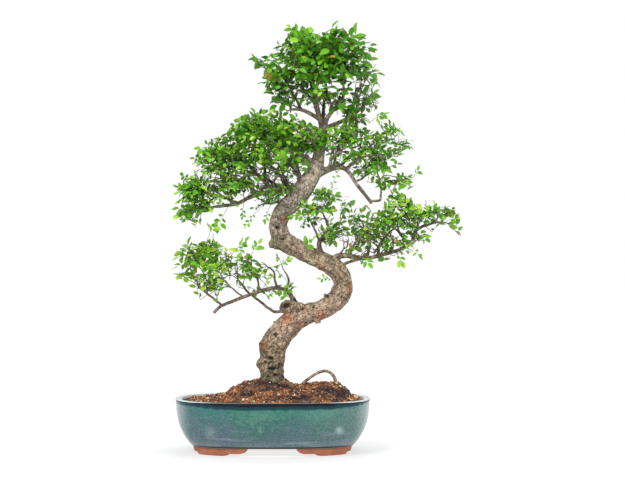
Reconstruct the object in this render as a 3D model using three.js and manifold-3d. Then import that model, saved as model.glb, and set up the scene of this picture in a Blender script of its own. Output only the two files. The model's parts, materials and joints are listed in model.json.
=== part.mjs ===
import * as THREE from 'three';
import { mergeVertices } from 'three/addons/utils/BufferGeometryUtils.js';
import Module from 'manifold-3d';

// A Japanese zelkova bonsai in an oval glazed pot. Millimetres, +Z up. Places are given from the
// middle of the pot on the ground, X along the pot to the right and Y away from the front. The whole
// group is then moved so that the middle of its outline stands over the origin.

const wasm = await Module();
wasm.setup();

// Middle of the pot, seen from the middle of the whole outline
const POT_CENTRE_X = -82;
const POT_CENTRE_Y = 0;

// Pot, an oval with nearly straight long sides
const RIM_HALF_LENGTH = 200;
const RIM_HALF_DEPTH = 140;
const RIM_HEIGHT = 110;
const NECK_HALF_LENGTH = 198.6;
const NECK_HEIGHT = 106;
const BASE_HALF_LENGTH = 166;
const BASE_HEIGHT = 15;
const BASE_THICKNESS = 9;
const BELLY_POWER = 2.5;
const BELLY_ROWS = [0, 0.1, 0.27, 0.55, 1];
const WALL = 13;
const LIP_EDGE = 1.3;
const FLOOR_ROUNDING = 4;
const PLAN_POWER = 2.8;
const PLAN_SEGMENTS = 32;
const DEPTH_INSET = RIM_HALF_LENGTH - RIM_HALF_DEPTH;
const FLOOR_HEIGHT = BASE_HEIGHT + BASE_THICKNESS;

// Corner feet: a low step and a longer upper step, and how near to the pot's middle each reaches
// along the front and along the side, at its top and at its bottom
const FOOT_TOP_INSET = 5;
const FOOT_BOTTOM_INSET = 8;
const FOOT_WIDTH = 18;
const FOOT_STEPS = 4;
const FOOT_STEP_HEIGHT = 4.5;
const FOOT_SINK = 2;
const FOOT_UPPER = { frontTop: 52, frontBottom: 63, sideTop: 26, sideBottom: 34 };
const FOOT_LOWER = { frontTop: 97, frontBottom: 99, sideTop: 56, sideBottom: 57 };

// Drainage holes and the screens over them
const HOLE_X = 72;
const HOLE_DIAMETER = 26;
const HOLE_SIDES = 12;
const SCREEN_SIZE = 44;
const SCREEN_THICKNESS = 1.2;
const SCREEN_OPENINGS = 2;
const SCREEN_BAR = 4;

// Gap between pieces that touch
const GAP = 0.35;

// Soil: heights of its ridge along X, and the level at the pot's wall
const SOIL_EDGE_HEIGHT = 104;
const SOIL_RIDGE = [
  [-186, 104], [-137, 108], [-104, 115], [-78, 131], [-51, 142], [-31, 146], [23, 144],
  [48, 135], [76, 138], [107, 140], [134, 139], [148, 129], [163, 114], [186, 104],
];
const SOIL_RINGS = [0.2, 0.42, 0.63, 0.84];
const SOIL_WALL_HEIGHTS = [78, 45];
const SOIL_CLOD = 1.6;

// Trunk: [x, y, z, diameter] up its middle
const TRUNK = [
  [-3, 0, 84, 40], [-3, 0, 112, 58], [-3, 0, 134, 56], [-3, 0, 151, 47], [-4, 0, 173, 46],
  [-2, 0, 196, 48], [2, 0, 218, 51], [14, 1, 237, 50], [29, 2, 254, 49], [49, 3, 271, 47],
  [73, 4, 282, 44], [98, 5, 289, 41.5], [124, 4, 304, 42], [141, 2, 324, 41], [145, 0, 343, 38],
  [139, -2, 363, 38], [126, -4, 378, 38], [102, -5, 391, 35], [75, -5, 402, 34], [50, -4, 416, 35],
  [26, -2, 429, 38], [14, 0, 446, 38], [10, 2, 467, 35], [16, 3, 486, 37], [30, 3, 504, 40],
  [48, 2, 521, 41], [64, 0, 544, 40], [78, -2, 563, 35], [89, -2, 584, 29], [95, 0, 613, 22.6],
  [100, 1, 641, 19.5], [104, 0, 668, 16.4],
];
const TRUNK_SIDES = 9;
const TRUNK_STEPS = 30;

// Burrs and healed cuts on the trunk: [x, y, z, radius along x, y, z]
const BURRS = [
  [-24, -6, 181, 10, 10, 11], [4, -4, 415, 15, 13, 12], [38, -9, 295, 21, 16, 13],
];
const BURR_SIDES = 6;
const BURR_ROWS = 4;

// Roots under the soil: bearings round the trunk in degrees, and the run outward from it
const ROOT_BEARINGS = [20, 95, 160, 232, 305];
const ROOT_RUN = [
  { out: 8, z: 116, d: 26 }, { out: 44, z: 106, d: 17 }, { out: 82, z: 84, d: 10 }, { out: 116, z: 58, d: 5 },
];
const ROOT_DEPTH_SHARE = 0.68;
// The arching root that leaves the soil and dives back into it
const LOOP_ROOT = [
  [4, -4, 114, 9], [45, -9, 119, 7.5], [70, -12, 124, 6.6], [80, -12, 136, 6], [88, -12, 150, 5.6],
  [97, -12, 162, 5.2], [108, -12, 167, 5.2], [119, -12, 163, 5.8], [128, -12, 153, 6.3],
  [131, -12, 142, 6.8], [136, -14, 122, 6], [150, -20, 98, 4],
];

// Branches: [x, y, z, diameter] from inside what each one grows on, out to its tip
const LOW_LEFT = [
  [[56, 2, 284, 13], [47, -2, 303, 11.3], [32, -6, 326, 9.4], [18, -8, 334, 8.8], [-1, -9, 335, 8.2],
    [-43, -8, 323, 7.8], [-85, -5, 307, 7], [-108, -3, 297, 6.6], [-121, -2, 284, 6.4]],
  [[42, 6, 276, 9], [20, 10, 287, 7.4], [3, 14, 286, 6.2], [-31, 22, 310, 5.1], [-54, 27, 328, 4.7],
    [-75, 30, 356, 4.1]],
  [[-104, -3, 299, 5.4], [-127, -8, 318, 4.4], [-148, -12, 337, 3.8], [-161, -14, 360, 3.2]],
  [[9, -9, 335, 6], [5, -14, 351, 4.6], [3, -24, 368, 3.8], [-22, -30, 389, 3.2]],
  [[24, -7, 331, 6], [32, 4, 352, 4.4], [20, 14, 376, 3.4]],
  [[-60, -7, 317, 6], [-78, -22, 338, 4.8], [-108, -32, 364, 3.6]],
];
const MID_RIGHT = [
  [[124, -4, 380, 18], [130, -5, 398, 14.4], [146, -6, 402, 11.3], [191, -7, 396, 8.4], [225, -6, 404, 8.6],
    [266, -4, 416, 8.2], [284, -3, 428, 8], [295, 0, 454, 7], [333, 3, 469, 4.6], [366, 3, 468, 3.2]],
  [[106, -5, 390, 16], [97, -8, 411, 12.3], [96, -10, 432, 9.2], [113, -12, 450, 7], [105, -15, 483, 4],
    [93, -16, 496, 3.2]],
  [[95, -10, 434, 5.4], [84, -4, 458, 4], [74, 2, 479, 3.2]],
  [[193, -6, 397, 6.4], [200, 12, 425, 4.8], [194, 24, 452, 3.6]],
  [[243, -5, 407, 6.4], [246, -22, 432, 4.8], [236, -32, 458, 3.6]],
];
const HIGH_RIGHT = [
  [[82, -2, 566, 24], [98, -4, 572, 16.4], [121, -6, 581, 12.3], [143, -8, 582, 10.3], [156, -8, 572, 8.6],
    [170, -8, 551, 7.8], [203, -4, 509, 6.6]],
  [[198, -4, 514, 5.4], [219, -2, 516, 4.8], [222, 0, 540, 4.2], [210, 4, 586, 3.2]],
  [[136, -8, 582, 8.4], [156, 2, 604, 6.4], [185, 10, 616, 4.8], [236, 12, 608, 3.2]],
  [[114, -6, 579, 7.4], [126, -24, 606, 5.4], [160, -34, 630, 3.8]],
];
const HIGH_LEFT = [
  [[54, 0, 530, 18], [30, -3, 543, 14.4], [-1, -5, 541, 10.3], [-22, -6, 558, 8.8], [-43, -6, 581, 7.8],
    [-60, -5, 596, 6.6], [-88, -4, 602, 5.3]],
  [[46, 4, 524, 14], [29, 8, 533, 12.3], [-10, 10, 532, 10.3], [-43, 10, 524, 9.2], [-72, 8, 509, 8.2],
    [-106, 6, 503, 6.2], [-150, 4, 499, 4.6]],
  [[86, -4, 590, 13], [70, -20, 602, 8], [44, -34, 612, 6], [14, -40, 622, 4.4]],
  [[94, 3, 610, 11], [84, 24, 622, 7], [66, 44, 636, 4.6]],
  [[-16, -6, 551, 7], [-16, 8, 588, 5.6], [-8, 14, 634, 4]],
];
const CROWN = [
  [[102, 0, 658, 14], [98, -2, 678, 10], [80, -6, 691, 8.8], [52, -8, 702, 7.4], [27, -8, 697, 4.4]],
  [[103, 1, 662, 14], [96, 4, 685, 10.3], [87, 6, 715, 10], [80, 6, 750, 7.4], [72, 6, 781, 5]],
  [[104, 0, 660, 12], [112, -6, 684, 9], [125, -10, 701, 8.2], [144, -10, 726, 6.2], [142, -6, 780, 4]],
  [[103, 0, 658, 13], [126, 3, 671, 9.4], [142, 5, 678, 8.4], [178, 7, 701, 6.6], [205, 8, 738, 4.2]],
  [[103, 2, 664, 11], [104, 24, 700, 7], [108, 46, 752, 4]],
  [[101, -2, 668, 10], [92, -26, 706, 6.8], [84, -46, 752, 4]],
];
// Short stubs left by old cuts on the trunk
const STUBS = [
  [[8, 0, 256, 9], [2, -14, 268, 6.5]],
  [[122, 2, 306, 9], [106, -6, 322, 6.5]],
];
const LIMB_SIDES = 5;
const THIN_LIMB_SIDES = 4;
const THIN_LIMB_DIAMETER = 9.5;
const LIMB_STEP = 26;
const ROOT_SIDES = 4;
const TWIG_SIDES = 3;

// Foliage: for each region its pads as [x, y, z, radius along x, y, z], the branches that carry
// them, the number of leafy sprays, and the length of a leaf
const REGIONS = [
  {
    name: 'crown',
    limbs: CROWN,
    sprays: 13,
    leaf: 21,
    pads: [[56, 0, 781, 90, 92, 90], [117, 4, 828, 86, 84, 66], [163, -4, 771, 70, 78, 80]],
  },
  {
    name: 'high_left',
    limbs: HIGH_LEFT,
    sprays: 12,
    leaf: 17,
    pads: [
      [-6, 4, 658, 78, 78, 47], [-78, 0, 596, 78, 80, 49], [-150, 0, 535, 66, 62, 40],
      [25, -34, 607, 78, 58, 42], [76, 36, 627, 54, 56, 40],
    ],
  },
  {
    name: 'high_right',
    limbs: HIGH_RIGHT,
    sprays: 7,
    leaf: 18,
    pads: [[179, -4, 637, 64, 72, 46], [243, 4, 602, 58, 62, 48]],
  },
  {
    name: 'mid_right',
    limbs: MID_RIGHT,
    sprays: 9,
    leaf: 17,
    pads: [
      [97, -12, 490, 62, 50, 36], [200, 4, 463, 62, 68, 44], [282, -4, 483, 66, 68, 46],
      [343, 2, 483, 40, 42, 25],
    ],
  },
  {
    name: 'low_left',
    limbs: LOW_LEFT,
    sprays: 8,
    leaf: 17,
    pads: [[-119, -6, 385, 86, 74, 52], [-172, -10, 398, 44, 40, 34], [-47, 6, 387, 57, 62, 40]],
  },
];
// Single sprigs on the trunk: [foot x, y, z, tip x, y, z]
const TRUNK_SPRIGS = [
  [138, -8, 344, 108, -30, 356],
  [60, -14, 404, 76, -40, 428],
  [94, -12, 572, 134, -34, 560],
];
const SPRIG_LEAF = 12;
const SPRIG_SEED = 9000;
const REGION_SEED = 1000;
const TIP_CANDIDATES = 60;
const LOWEST_TIP = -0.5;
const INSIDE_OTHER_PAD = 0.93;

// Sprays: a stem that carries on from its branchlet, and shoots of leaves that lie in one arched blade
const BRANCHLET_DIAMETER = 4.2;
const STEM_DIAMETER = 2.8;
const STEM_END_DIAMETER = 2.2;
const STEM_LENGTH = 16;
const SHORTEST_RUN = 24;
const BLADE_THICKNESS = 0.7;
const BLADE_CLEARANCE = 0.5;
const RIB_HALF_WIDTH = 0.85;
const RIB_SINK = 2;
const SIDE_LEAVES = 6;
const FIRST_LEAF = 0.35;
const LEAF_PITCH = 0.38;
const LEAF_SIZES = [0.8, 0.92, 1, 1.04, 1.02, 0.96];
const LEAF_ANGLE = THREE.MathUtils.degToRad(54);
const SHOOT_REACH = FIRST_LEAF + LEAF_PITCH * (SIDE_LEAVES - 0.2) + 0.9;
const SHOOT_LEVEL = 0.5;
const SHOOT_ROLL = 1.1;
const TRIES = 26;
const SLIVER = 0.03;

const UP = new THREE.Vector3(0, 0, 1);

// A repeatable random number from 0 to 1
function randomFrom(seed) {
  let state = seed >>> 0;
  return () => {
    state = (state + 0x6d2b79f5) >>> 0;
    let mixed = Math.imul(state ^ (state >>> 15), 1 | state);
    mixed = (mixed + Math.imul(mixed ^ (mixed >>> 7), 61 | mixed)) ^ mixed;
    return ((mixed ^ (mixed >>> 14)) >>> 0) / 4294967296;
  };
}

// A closed solid from a three.js geometry, with faces turned out whichever way it was mapped
function solid(geometry) {
  geometry.deleteAttribute('normal');
  geometry.deleteAttribute('uv');
  const merged = mergeVertices(geometry, 1e-4);
  const points = merged.attributes.position;
  const corners = [];
  let volume = 0;
  for (let i = 0; i < merged.index.count; i += 3) {
    const [a, b, c] = [0, 1, 2].map((k) => merged.index.getX(i + k));
    if (a !== b && b !== c && c !== a) {
      corners.push(a, b, c);
      const [p, q, r] = [a, b, c].map((k) => new THREE.Vector3().fromBufferAttribute(points, k));
      volume += p.dot(q.cross(r));
    }
  }
  const triVerts = Uint32Array.from(corners);
  if (volume < 0) {
    triVerts.reverse();
  }
  const vertProperties = Float32Array.from(points.array);
  return new wasm.Manifold(new wasm.Mesh({ numProp: 3, vertProperties, triVerts }));
}

function union(solids) {
  return solids.reduce((joined, next) => joined.add(next));
}

// The one body that is left once slivers and loose scraps are gone and sealed hollows are filled
function oneBody(joined) {
  const pieces = joined.simplify(SLIVER).decompose();
  return pieces.reduce((largest, piece) => (piece.volume() > largest.volume() ? piece : largest));
}

function namedMesh(name, shape, color, roughness) {
  const data = shape.getMesh();
  const geometry = new THREE.BufferGeometry();
  geometry.setAttribute('position', new THREE.BufferAttribute(data.vertProperties, 3));
  geometry.setIndex(new THREE.BufferAttribute(data.triVerts, 1));
  geometry.computeVertexNormals();
  const material = new THREE.MeshStandardMaterial({ color, roughness, metalness: 0 });
  const mesh = new THREE.Mesh(geometry, material);
  mesh.name = name;
  return mesh;
}

// A point of the oval plan at an angle
function planPoint(halfLength, halfDepth, angle) {
  const power = 2 / PLAN_POWER;
  const c = Math.cos(angle);
  const s = Math.sin(angle);
  const x = halfLength * Math.sign(c) * Math.abs(c) ** power;
  const y = halfDepth * Math.sign(s) * Math.abs(s) ** power;
  return new THREE.Vector2(x, y);
}

// A solid with oval rows of [half length, half depth, height], from its axis out and back to it.
// A height may be a function of the place in plan.
function ovalSolid(rows) {
  const profile = rows.map(([halfLength], i) => new THREE.Vector2(halfLength, i));
  const geometry = new THREE.LatheGeometry(profile, PLAN_SEGMENTS);
  const points = geometry.attributes.position;
  for (let i = 0; i < points.count; i += 1) {
    const [halfLength, halfDepth, height] = rows[Math.round(points.getY(i))];
    const angle = Math.atan2(points.getZ(i), points.getX(i));
    const plan = planPoint(halfLength, halfDepth, angle);
    const z = typeof height === 'function' ? height(plan.x, plan.y) : height;
    points.setXYZ(i, plan.x, plan.y, z);
  }
  return solid(geometry);
}

function ovalRow(halfLength, height) {
  return [halfLength, Math.max(halfLength - DEPTH_INSET, 0), height];
}

// Half length of the pot's outside at a height
function bellyAt(height) {
  const share = (height - BASE_HEIGHT) / (NECK_HEIGHT - BASE_HEIGHT);
  return BASE_HALF_LENGTH + (NECK_HALF_LENGTH - BASE_HALF_LENGTH) * (1 - (1 - share) ** BELLY_POWER);
}

// Half length of the pot's inside at a height
function insideAt(height) {
  return bellyAt(Math.min(height, NECK_HEIGHT)) - WALL;
}

function potBowl() {
  const outside = BELLY_ROWS.map((share) => {
    const height = BASE_HEIGHT + share * (NECK_HEIGHT - BASE_HEIGHT);
    return ovalRow(bellyAt(height), height);
  });
  const lip = [
    ovalRow(RIM_HALF_LENGTH, NECK_HEIGHT + LIP_EDGE),
    ovalRow(RIM_HALF_LENGTH, RIM_HEIGHT - LIP_EDGE),
    ovalRow(RIM_HALF_LENGTH - LIP_EDGE, RIM_HEIGHT),
    ovalRow(insideAt(RIM_HEIGHT) + LIP_EDGE, RIM_HEIGHT),
  ];
  const inside = [RIM_HEIGHT - LIP_EDGE, ...SOIL_WALL_HEIGHTS, FLOOR_HEIGHT + FLOOR_ROUNDING].map(
    (height) => ovalRow(insideAt(height), height),
  );
  const floor = ovalRow(insideAt(FLOOR_HEIGHT) - FLOOR_ROUNDING, FLOOR_HEIGHT);
  return ovalSolid([[0, 0, BASE_HEIGHT], ...outside, ...lip, ...inside, floor, [0, 0, FLOOR_HEIGHT]]);
}

// One step of a corner foot, that follows the oval from its front end round to its side end
function footBlock(signX, signY, low, high, ends) {
  const geometry = new THREE.BoxGeometry(1, 1, 1, FOOT_STEPS, 1, 1);
  const points = geometry.attributes.position;
  for (let i = 0; i < points.count; i += 1) {
    const top = points.getZ(i) > 0;
    const height = top ? high : low;
    const inset = THREE.MathUtils.lerp(FOOT_BOTTOM_INSET, FOOT_TOP_INSET, height / BASE_HEIGHT);
    const outer = points.getY(i) > 0 ? 0 : FOOT_WIDTH;
    const halfLength = BASE_HALF_LENGTH - inset - outer;
    const halfDepth = halfLength - DEPTH_INSET;
    const front = (top ? ends.frontTop : ends.frontBottom) / halfLength;
    const side = (top ? ends.sideTop : ends.sideBottom) / halfDepth;
    const frontAngle = Math.acos(front ** (PLAN_POWER / 2));
    const sideAngle = Math.asin(side ** (PLAN_POWER / 2));
    const angle = THREE.MathUtils.lerp(frontAngle, sideAngle, points.getX(i) + 0.5);
    const plan = planPoint(halfLength, halfDepth, angle);
    points.setXYZ(i, signX * plan.x, signY * plan.y, height);
  }
  return solid(geometry);
}

function cornerFoot(signX, signY) {
  const lower = footBlock(signX, signY, 0, FOOT_STEP_HEIGHT + GAP, FOOT_LOWER);
  const upper = footBlock(signX, signY, FOOT_STEP_HEIGHT, BASE_HEIGHT + FOOT_SINK, FOOT_UPPER);
  return lower.add(upper);
}

function drainHole(x) {
  const radius = HOLE_DIAMETER / 2;
  const geometry = new THREE.CylinderGeometry(radius, radius, 4 * BASE_THICKNESS, HOLE_SIDES);
  geometry.rotateX(Math.PI / 2);
  geometry.translate(x, 0, FLOOR_HEIGHT);
  return solid(geometry);
}

function buildPot() {
  const corners = [[1, 1], [-1, 1], [1, -1], [-1, -1]];
  const feet = corners.map(([signX, signY]) => cornerFoot(signX, signY));
  const cut = union([drainHole(-HOLE_X), drainHole(HOLE_X)]);
  return oneBody(union([potBowl(), ...feet]).subtract(cut));
}

function boxSolid(width, depth, height, x, y, z) {
  const geometry = new THREE.BoxGeometry(width, depth, height);
  geometry.translate(x, y, z);
  return solid(geometry);
}

// A flat screen of crossing bars over a drainage hole
function buildScreen(x) {
  const z = FLOOR_HEIGHT + GAP + SCREEN_THICKNESS / 2;
  const plate = boxSolid(SCREEN_SIZE, SCREEN_SIZE, SCREEN_THICKNESS, x, 0, z);
  const pitch = (SCREEN_SIZE - SCREEN_BAR) / SCREEN_OPENINGS;
  const opening = pitch - SCREEN_BAR;
  const cuts = [];
  for (let i = 0; i < SCREEN_OPENINGS; i += 1) {
    for (let j = 0; j < SCREEN_OPENINGS; j += 1) {
      const dx = (i - (SCREEN_OPENINGS - 1) / 2) * pitch;
      const dy = (j - (SCREEN_OPENINGS - 1) / 2) * pitch;
      cuts.push(boxSolid(opening, opening, 2 * SCREEN_THICKNESS, x + dx, dy, z));
    }
  }
  return plate.subtract(union(cuts));
}

// Height of the soil at a place in plan: its ridge along X, sloping to the pot's wall, with clods
function soilHeight(x, y) {
  const last = SOIL_RIDGE.length - 2;
  const found = SOIL_RIDGE.findIndex(([ridgeX]) => ridgeX > x) - 1;
  const i = THREE.MathUtils.clamp(found < -1 ? last : found, 0, last);
  const [x0, z0] = SOIL_RIDGE[i];
  const [x1, z1] = SOIL_RIDGE[i + 1];
  const share = THREE.MathUtils.smoothstep(x, x0, x1);
  const ridge = THREE.MathUtils.lerp(z0, z1, share);
  const halfLength = insideAt(SOIL_EDGE_HEIGHT);
  const reach = Math.min(Math.abs(x) / halfLength, 1);
  const halfDepth = (halfLength - DEPTH_INSET) * (1 - reach ** PLAN_POWER) ** (1 / PLAN_POWER);
  const across = halfDepth > 1 ? Math.min(Math.abs(y) / halfDepth, 1) : 1;
  const clods = Math.sin(x * 0.21 + y * 0.13) + Math.sin(y * 0.24 - x * 0.11);
  const slope = (1 - across ** 2) ** 1.2;
  return SOIL_EDGE_HEIGHT + (ridge - SOIL_EDGE_HEIGHT) * slope + SOIL_CLOD * clods * slope;
}

// A tapered limb along [x, y, z, diameter] points, with its cross-section shaped by a function of
// the angle and the share of its length, and swollen by a clearance all round
function limb(points, sides, steps, shape = () => 1, clearance = 0) {
  const places = points.map(([x, y, z]) => new THREE.Vector3(x, y, z));
  const path = new THREE.CatmullRomCurve3(places, false, 'centripetal');
  const frames = path.computeFrenetFrames(steps, false);
  const geometry = new THREE.CylinderGeometry(1, 1, 1, sides, steps);
  const position = geometry.attributes.position;
  for (let i = 0; i < position.count; i += 1) {
    const along = position.getY(i) + 0.5;
    const row = Math.round(along * steps);
    const t = path.getUtoTmapping(row / steps, 0);
    const spot = t * (points.length - 1);
    const k = Math.min(Math.floor(spot), points.length - 2);
    const diameter = THREE.MathUtils.lerp(points[k][3], points[k + 1][3], spot - k);
    const angle = Math.atan2(position.getZ(i), position.getX(i));
    const spread = Math.hypot(position.getX(i), position.getZ(i));
    const radius = spread * ((diameter / 2) * shape(angle, along) + clearance);
    const centre = path.getPoint(t);
    const end = row === 0 ? -1 : Number(row === steps);
    centre.addScaledVector(frames.tangents[row], end * clearance);
    centre.addScaledVector(frames.normals[row], radius * Math.cos(angle));
    centre.addScaledVector(frames.binormals[row], radius * Math.sin(angle));
    position.setXYZ(i, centre.x, centre.y, centre.z);
  }
  return solid(geometry);
}

function limbLength(points) {
  return points.slice(1).reduce((sum, point, i) => {
    const before = new THREE.Vector3(...points[i].slice(0, 3));
    return sum + before.distanceTo(new THREE.Vector3(...point.slice(0, 3)));
  }, 0);
}

function branch(points) {
  const steps = Math.max(Math.round(limbLength(points) / LIMB_STEP), points.length - 1);
  const sides = points[0][3] > THIN_LIMB_DIAMETER ? LIMB_SIDES : THIN_LIMB_SIDES;
  return limb(points, sides, steps);
}

// The trunk's ridges and hollows wind slowly round it
function trunkShape(angle, along) {
  const winding = 7 * along;
  const ridges = 0.06 * Math.sin(3 * angle + winding) + 0.05 * Math.sin(2 * angle - 2.3 * winding + 1);
  return 1 + ridges + 0.03 * Math.sin(5 * angle + 26 * along);
}

// What stands in the soil: the foot of the trunk and all the roots
function rootedParts(clearance) {
  const trunk = limb(TRUNK, TRUNK_SIDES, TRUNK_STEPS, trunkShape, clearance);
  const roots = ROOT_BEARINGS.map((bearing) => {
    const angle = THREE.MathUtils.degToRad(bearing);
    const run = ROOT_RUN.map(({ out, z, d }) => {
      const x = TRUNK[0][0] + out * Math.cos(angle);
      const y = out * Math.sin(angle) * ROOT_DEPTH_SHARE;
      return [x, y, z, d];
    });
    return limb(run, ROOT_SIDES, run.length - 1, undefined, clearance);
  });
  const loop = limb(LOOP_ROOT, LIMB_SIDES, LOOP_ROOT.length - 1, undefined, clearance);
  return union([trunk, ...roots, loop]);
}

function buildSoil() {
  const inside = (height) => insideAt(height) - 1.5 * GAP;
  const edge = inside(SOIL_EDGE_HEIGHT);
  const rings = SOIL_RINGS.map((share) => [share * edge, share * (edge - DEPTH_INSET), soilHeight]);
  const wall = [SOIL_EDGE_HEIGHT, ...SOIL_WALL_HEIGHTS, FLOOR_HEIGHT + FLOOR_ROUNDING].map((height) =>
    ovalRow(inside(height), height),
  );
  const bottom = FLOOR_HEIGHT + GAP;
  const floor = ovalRow(inside(FLOOR_HEIGHT) - FLOOR_ROUNDING, bottom);
  const mound = ovalSolid([[0, 0, soilHeight], ...rings, ...wall, floor, [0, 0, bottom]]);
  const recessSize = SCREEN_SIZE + 2 * GAP;
  const recessDepth = SCREEN_THICKNESS + 2 * GAP;
  const recesses = [-HOLE_X, HOLE_X].map((x) =>
    boxSolid(recessSize, recessSize, 2 * recessDepth, x, 0, bottom),
  );
  return oneBody(mound.subtract(union([rootedParts(GAP), ...recesses])));
}

function burr([x, y, z, radiusX, radiusY, radiusZ]) {
  const geometry = new THREE.SphereGeometry(1, BURR_SIDES, BURR_ROWS);
  geometry.scale(radiusX, radiusY, radiusZ);
  geometry.translate(x, y, z);
  return solid(geometry);
}

// Places spread evenly over the outer faces of a region's pads, the furthest from each other first
function sprayTips({ pads, sprays }) {
  const golden = Math.PI * (3 - Math.sqrt(5));
  const candidates = [];
  pads.forEach(([x, y, z, rx, ry, rz], owner) => {
    for (let i = 0; i < TIP_CANDIDATES; i += 1) {
      const level = THREE.MathUtils.lerp(1, LOWEST_TIP, (i + 0.5) / TIP_CANDIDATES);
      const ring = Math.sqrt(1 - level * level);
      const turn = i * golden;
      const outward = new THREE.Vector3(ring * Math.cos(turn), ring * Math.sin(turn), level);
      const tip = new THREE.Vector3(x + rx * outward.x, y + ry * outward.y, z + rz * level);
      const hidden = pads.some(([px, py, pz, prx, pry, prz], other) => {
        const depth = Math.hypot((tip.x - px) / prx, (tip.y - py) / pry, (tip.z - pz) / prz);
        return other !== owner && depth < INSIDE_OTHER_PAD;
      });
      if (!hidden) {
        candidates.push({ tip, outward });
      }
    }
  });
  const middle = candidates.reduce((sum, { tip }) => sum.add(tip), new THREE.Vector3());
  middle.divideScalar(candidates.length);
  const spacing = candidates.map(({ tip }) => tip.distanceTo(middle));
  const chosen = [];
  while (chosen.length < sprays) {
    const next = candidates[spacing.indexOf(Math.max(...spacing))];
    chosen.push(next);
    candidates.forEach(({ tip }, i) => {
      const distance = tip.distanceTo(next.tip);
      spacing[i] = chosen.length === 1 ? distance : Math.min(spacing[i], distance);
    });
  }
  return chosen;
}

// Points along a region's branches where a branchlet may start, with the branch's heading there
function footholds(limbs) {
  return limbs.flatMap((points) => {
    const places = points.map(([x, y, z]) => new THREE.Vector3(x, y, z));
    const path = new THREE.CatmullRomCurve3(places, false, 'centripetal');
    const count = 4 * points.length;
    return Array.from({ length: count }, (_, i) => {
      const t = 0.3 + (0.7 * (i + 1)) / count;
      return { place: path.getPoint(t), heading: path.getTangent(t) };
    });
  });
}

// The foothold from which a branchlet reaches a place with the shortest and least bent run
function bestFoothold(holds, place) {
  const cost = ({ place: foot, heading }) => {
    const run = place.clone().sub(foot);
    const length = run.length();
    const turn = 1.7 - run.normalize().dot(heading);
    return length < SHORTEST_RUN ? Infinity : length * turn;
  };
  return holds.reduce((best, hold) => (cost(hold) < cost(best) ? hold : best));
}

function overlaps(shape, others) {
  return others.some((other) => shape.intersect(other).volume() > 1e-6);
}

// The run of a spray: its branchlet, part of the tree, and the stem that carries on from its end.
// Later attempts end further out and more to one side.
function sprayRun({ foot, growth, end: wanted, heading, random }, attempt) {
  const shift = new THREE.Vector3(random() - 0.5, random() - 0.5, random() - 0.5);
  const end = wanted.clone().addScaledVector(heading, 1.5 * attempt).addScaledVector(shift, 2 * attempt);
  const length = foot.distanceTo(end);
  const jitter = new THREE.Vector3(random() - 0.5, random() - 0.5, random() - 0.2);
  const middle = foot.clone().lerp(end, 0.5);
  middle.addScaledVector(growth, 0.12 * length);
  middle.addScaledVector(jitter, 0.22 * length);
  const path = new THREE.QuadraticBezierCurve3(foot, middle, end);
  const stemStart = 1 - Math.min(STEM_LENGTH / length, 0.5);
  const at = (t, diameter) => [...path.getPoint(t).toArray(), diameter];
  const ahead = path.getTangent(stemStart).multiplyScalar(GAP);
  const start = path.getPoint(stemStart).add(ahead);
  const branchletPoints = [
    at(0, BRANCHLET_DIAMETER),
    at(stemStart / 2, 0.8 * BRANCHLET_DIAMETER),
    at(stemStart, STEM_DIAMETER),
  ];
  const stemPoints = [
    [...start.toArray(), STEM_DIAMETER],
    at((1 + stemStart) / 2, STEM_DIAMETER),
    at(1, STEM_END_DIAMETER),
  ];
  return { branchletPoints, stemPoints, end };
}

// Outline of one shoot, leaves on both sides of its rib and one at its end
function shootOutline(leaf) {
  const sideLeaf = (number, side) => {
    const foot = leaf * (FIRST_LEAF + number * LEAF_PITCH);
    const size = leaf * LEAF_SIZES[number];
    const along = new THREE.Vector2(Math.cos(LEAF_ANGLE), side * Math.sin(LEAF_ANGLE));
    const across = new THREE.Vector2(Math.sin(LEAF_ANGLE), -side * Math.cos(LEAF_ANGLE));
    const at = (share, width) => {
      const x = foot + size * (share * along.x + width * across.x);
      const y = side * RIB_HALF_WIDTH + size * (share * along.y + width * across.y);
      return new THREE.Vector2(x, y);
    };
    const root = (dx) => new THREE.Vector2(foot + dx, side * RIB_HALF_WIDTH);
    return [root(-1), at(0.42, -0.27), at(1, 0), at(0.4, 0.27), root(1)];
  };
  const sideRun = (side) => {
    const run = [new THREE.Vector2(-RIB_SINK, side * RIB_HALF_WIDTH)];
    for (let i = 0; i < SIDE_LEAVES; i += 1) {
      if ((i % 2 === 0) === (side > 0)) {
        run.push(...sideLeaf(i, side));
      }
    }
    return run;
  };
  const ribEnd = leaf * (FIRST_LEAF + LEAF_PITCH * (SIDE_LEAVES - 0.2));
  const end = (share, width) => new THREE.Vector2(ribEnd + share * leaf, width * leaf);
  const last = [end(0, -0.05), end(0.4, -0.26), end(0.9, 0), end(0.44, 0.27), end(0, 0.05)];
  return [...sideRun(-1), ...last, ...sideRun(1).reverse()];
}

// The shoot as a thin blade, arched along its rib and drooping to the leaf tips on both sides
function shootBlade(leaf, arch, droop, matrix, extra = 0) {
  const thickness = BLADE_THICKNESS + 2 * extra;
  const shape = new THREE.Shape(shootOutline(leaf));
  const geometry = new THREE.ExtrudeGeometry(shape, { depth: thickness, bevelEnabled: false, steps: 1 });
  const points = geometry.attributes.position;
  for (let i = 0; i < points.count; i += 1) {
    const x = points.getX(i);
    const y = points.getY(i);
    const bend = (arch * x * x + droop * y * y) / (3 * leaf);
    points.setZ(i, points.getZ(i) - thickness / 2 - bend);
  }
  geometry.applyMatrix4(matrix);
  return solid(geometry);
}

// The heading of a shoot: out from its pad, and nearly level
function shootHeading(outward, random) {
  const turn = 2 * Math.PI * random();
  const heading = new THREE.Vector3(outward.x, outward.y, SHOOT_LEVEL * outward.z);
  const steep = 0.7 * Math.abs(outward.z);
  heading.x += steep * Math.cos(turn);
  heading.y += steep * Math.sin(turn);
  return heading.normalize();
}

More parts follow.
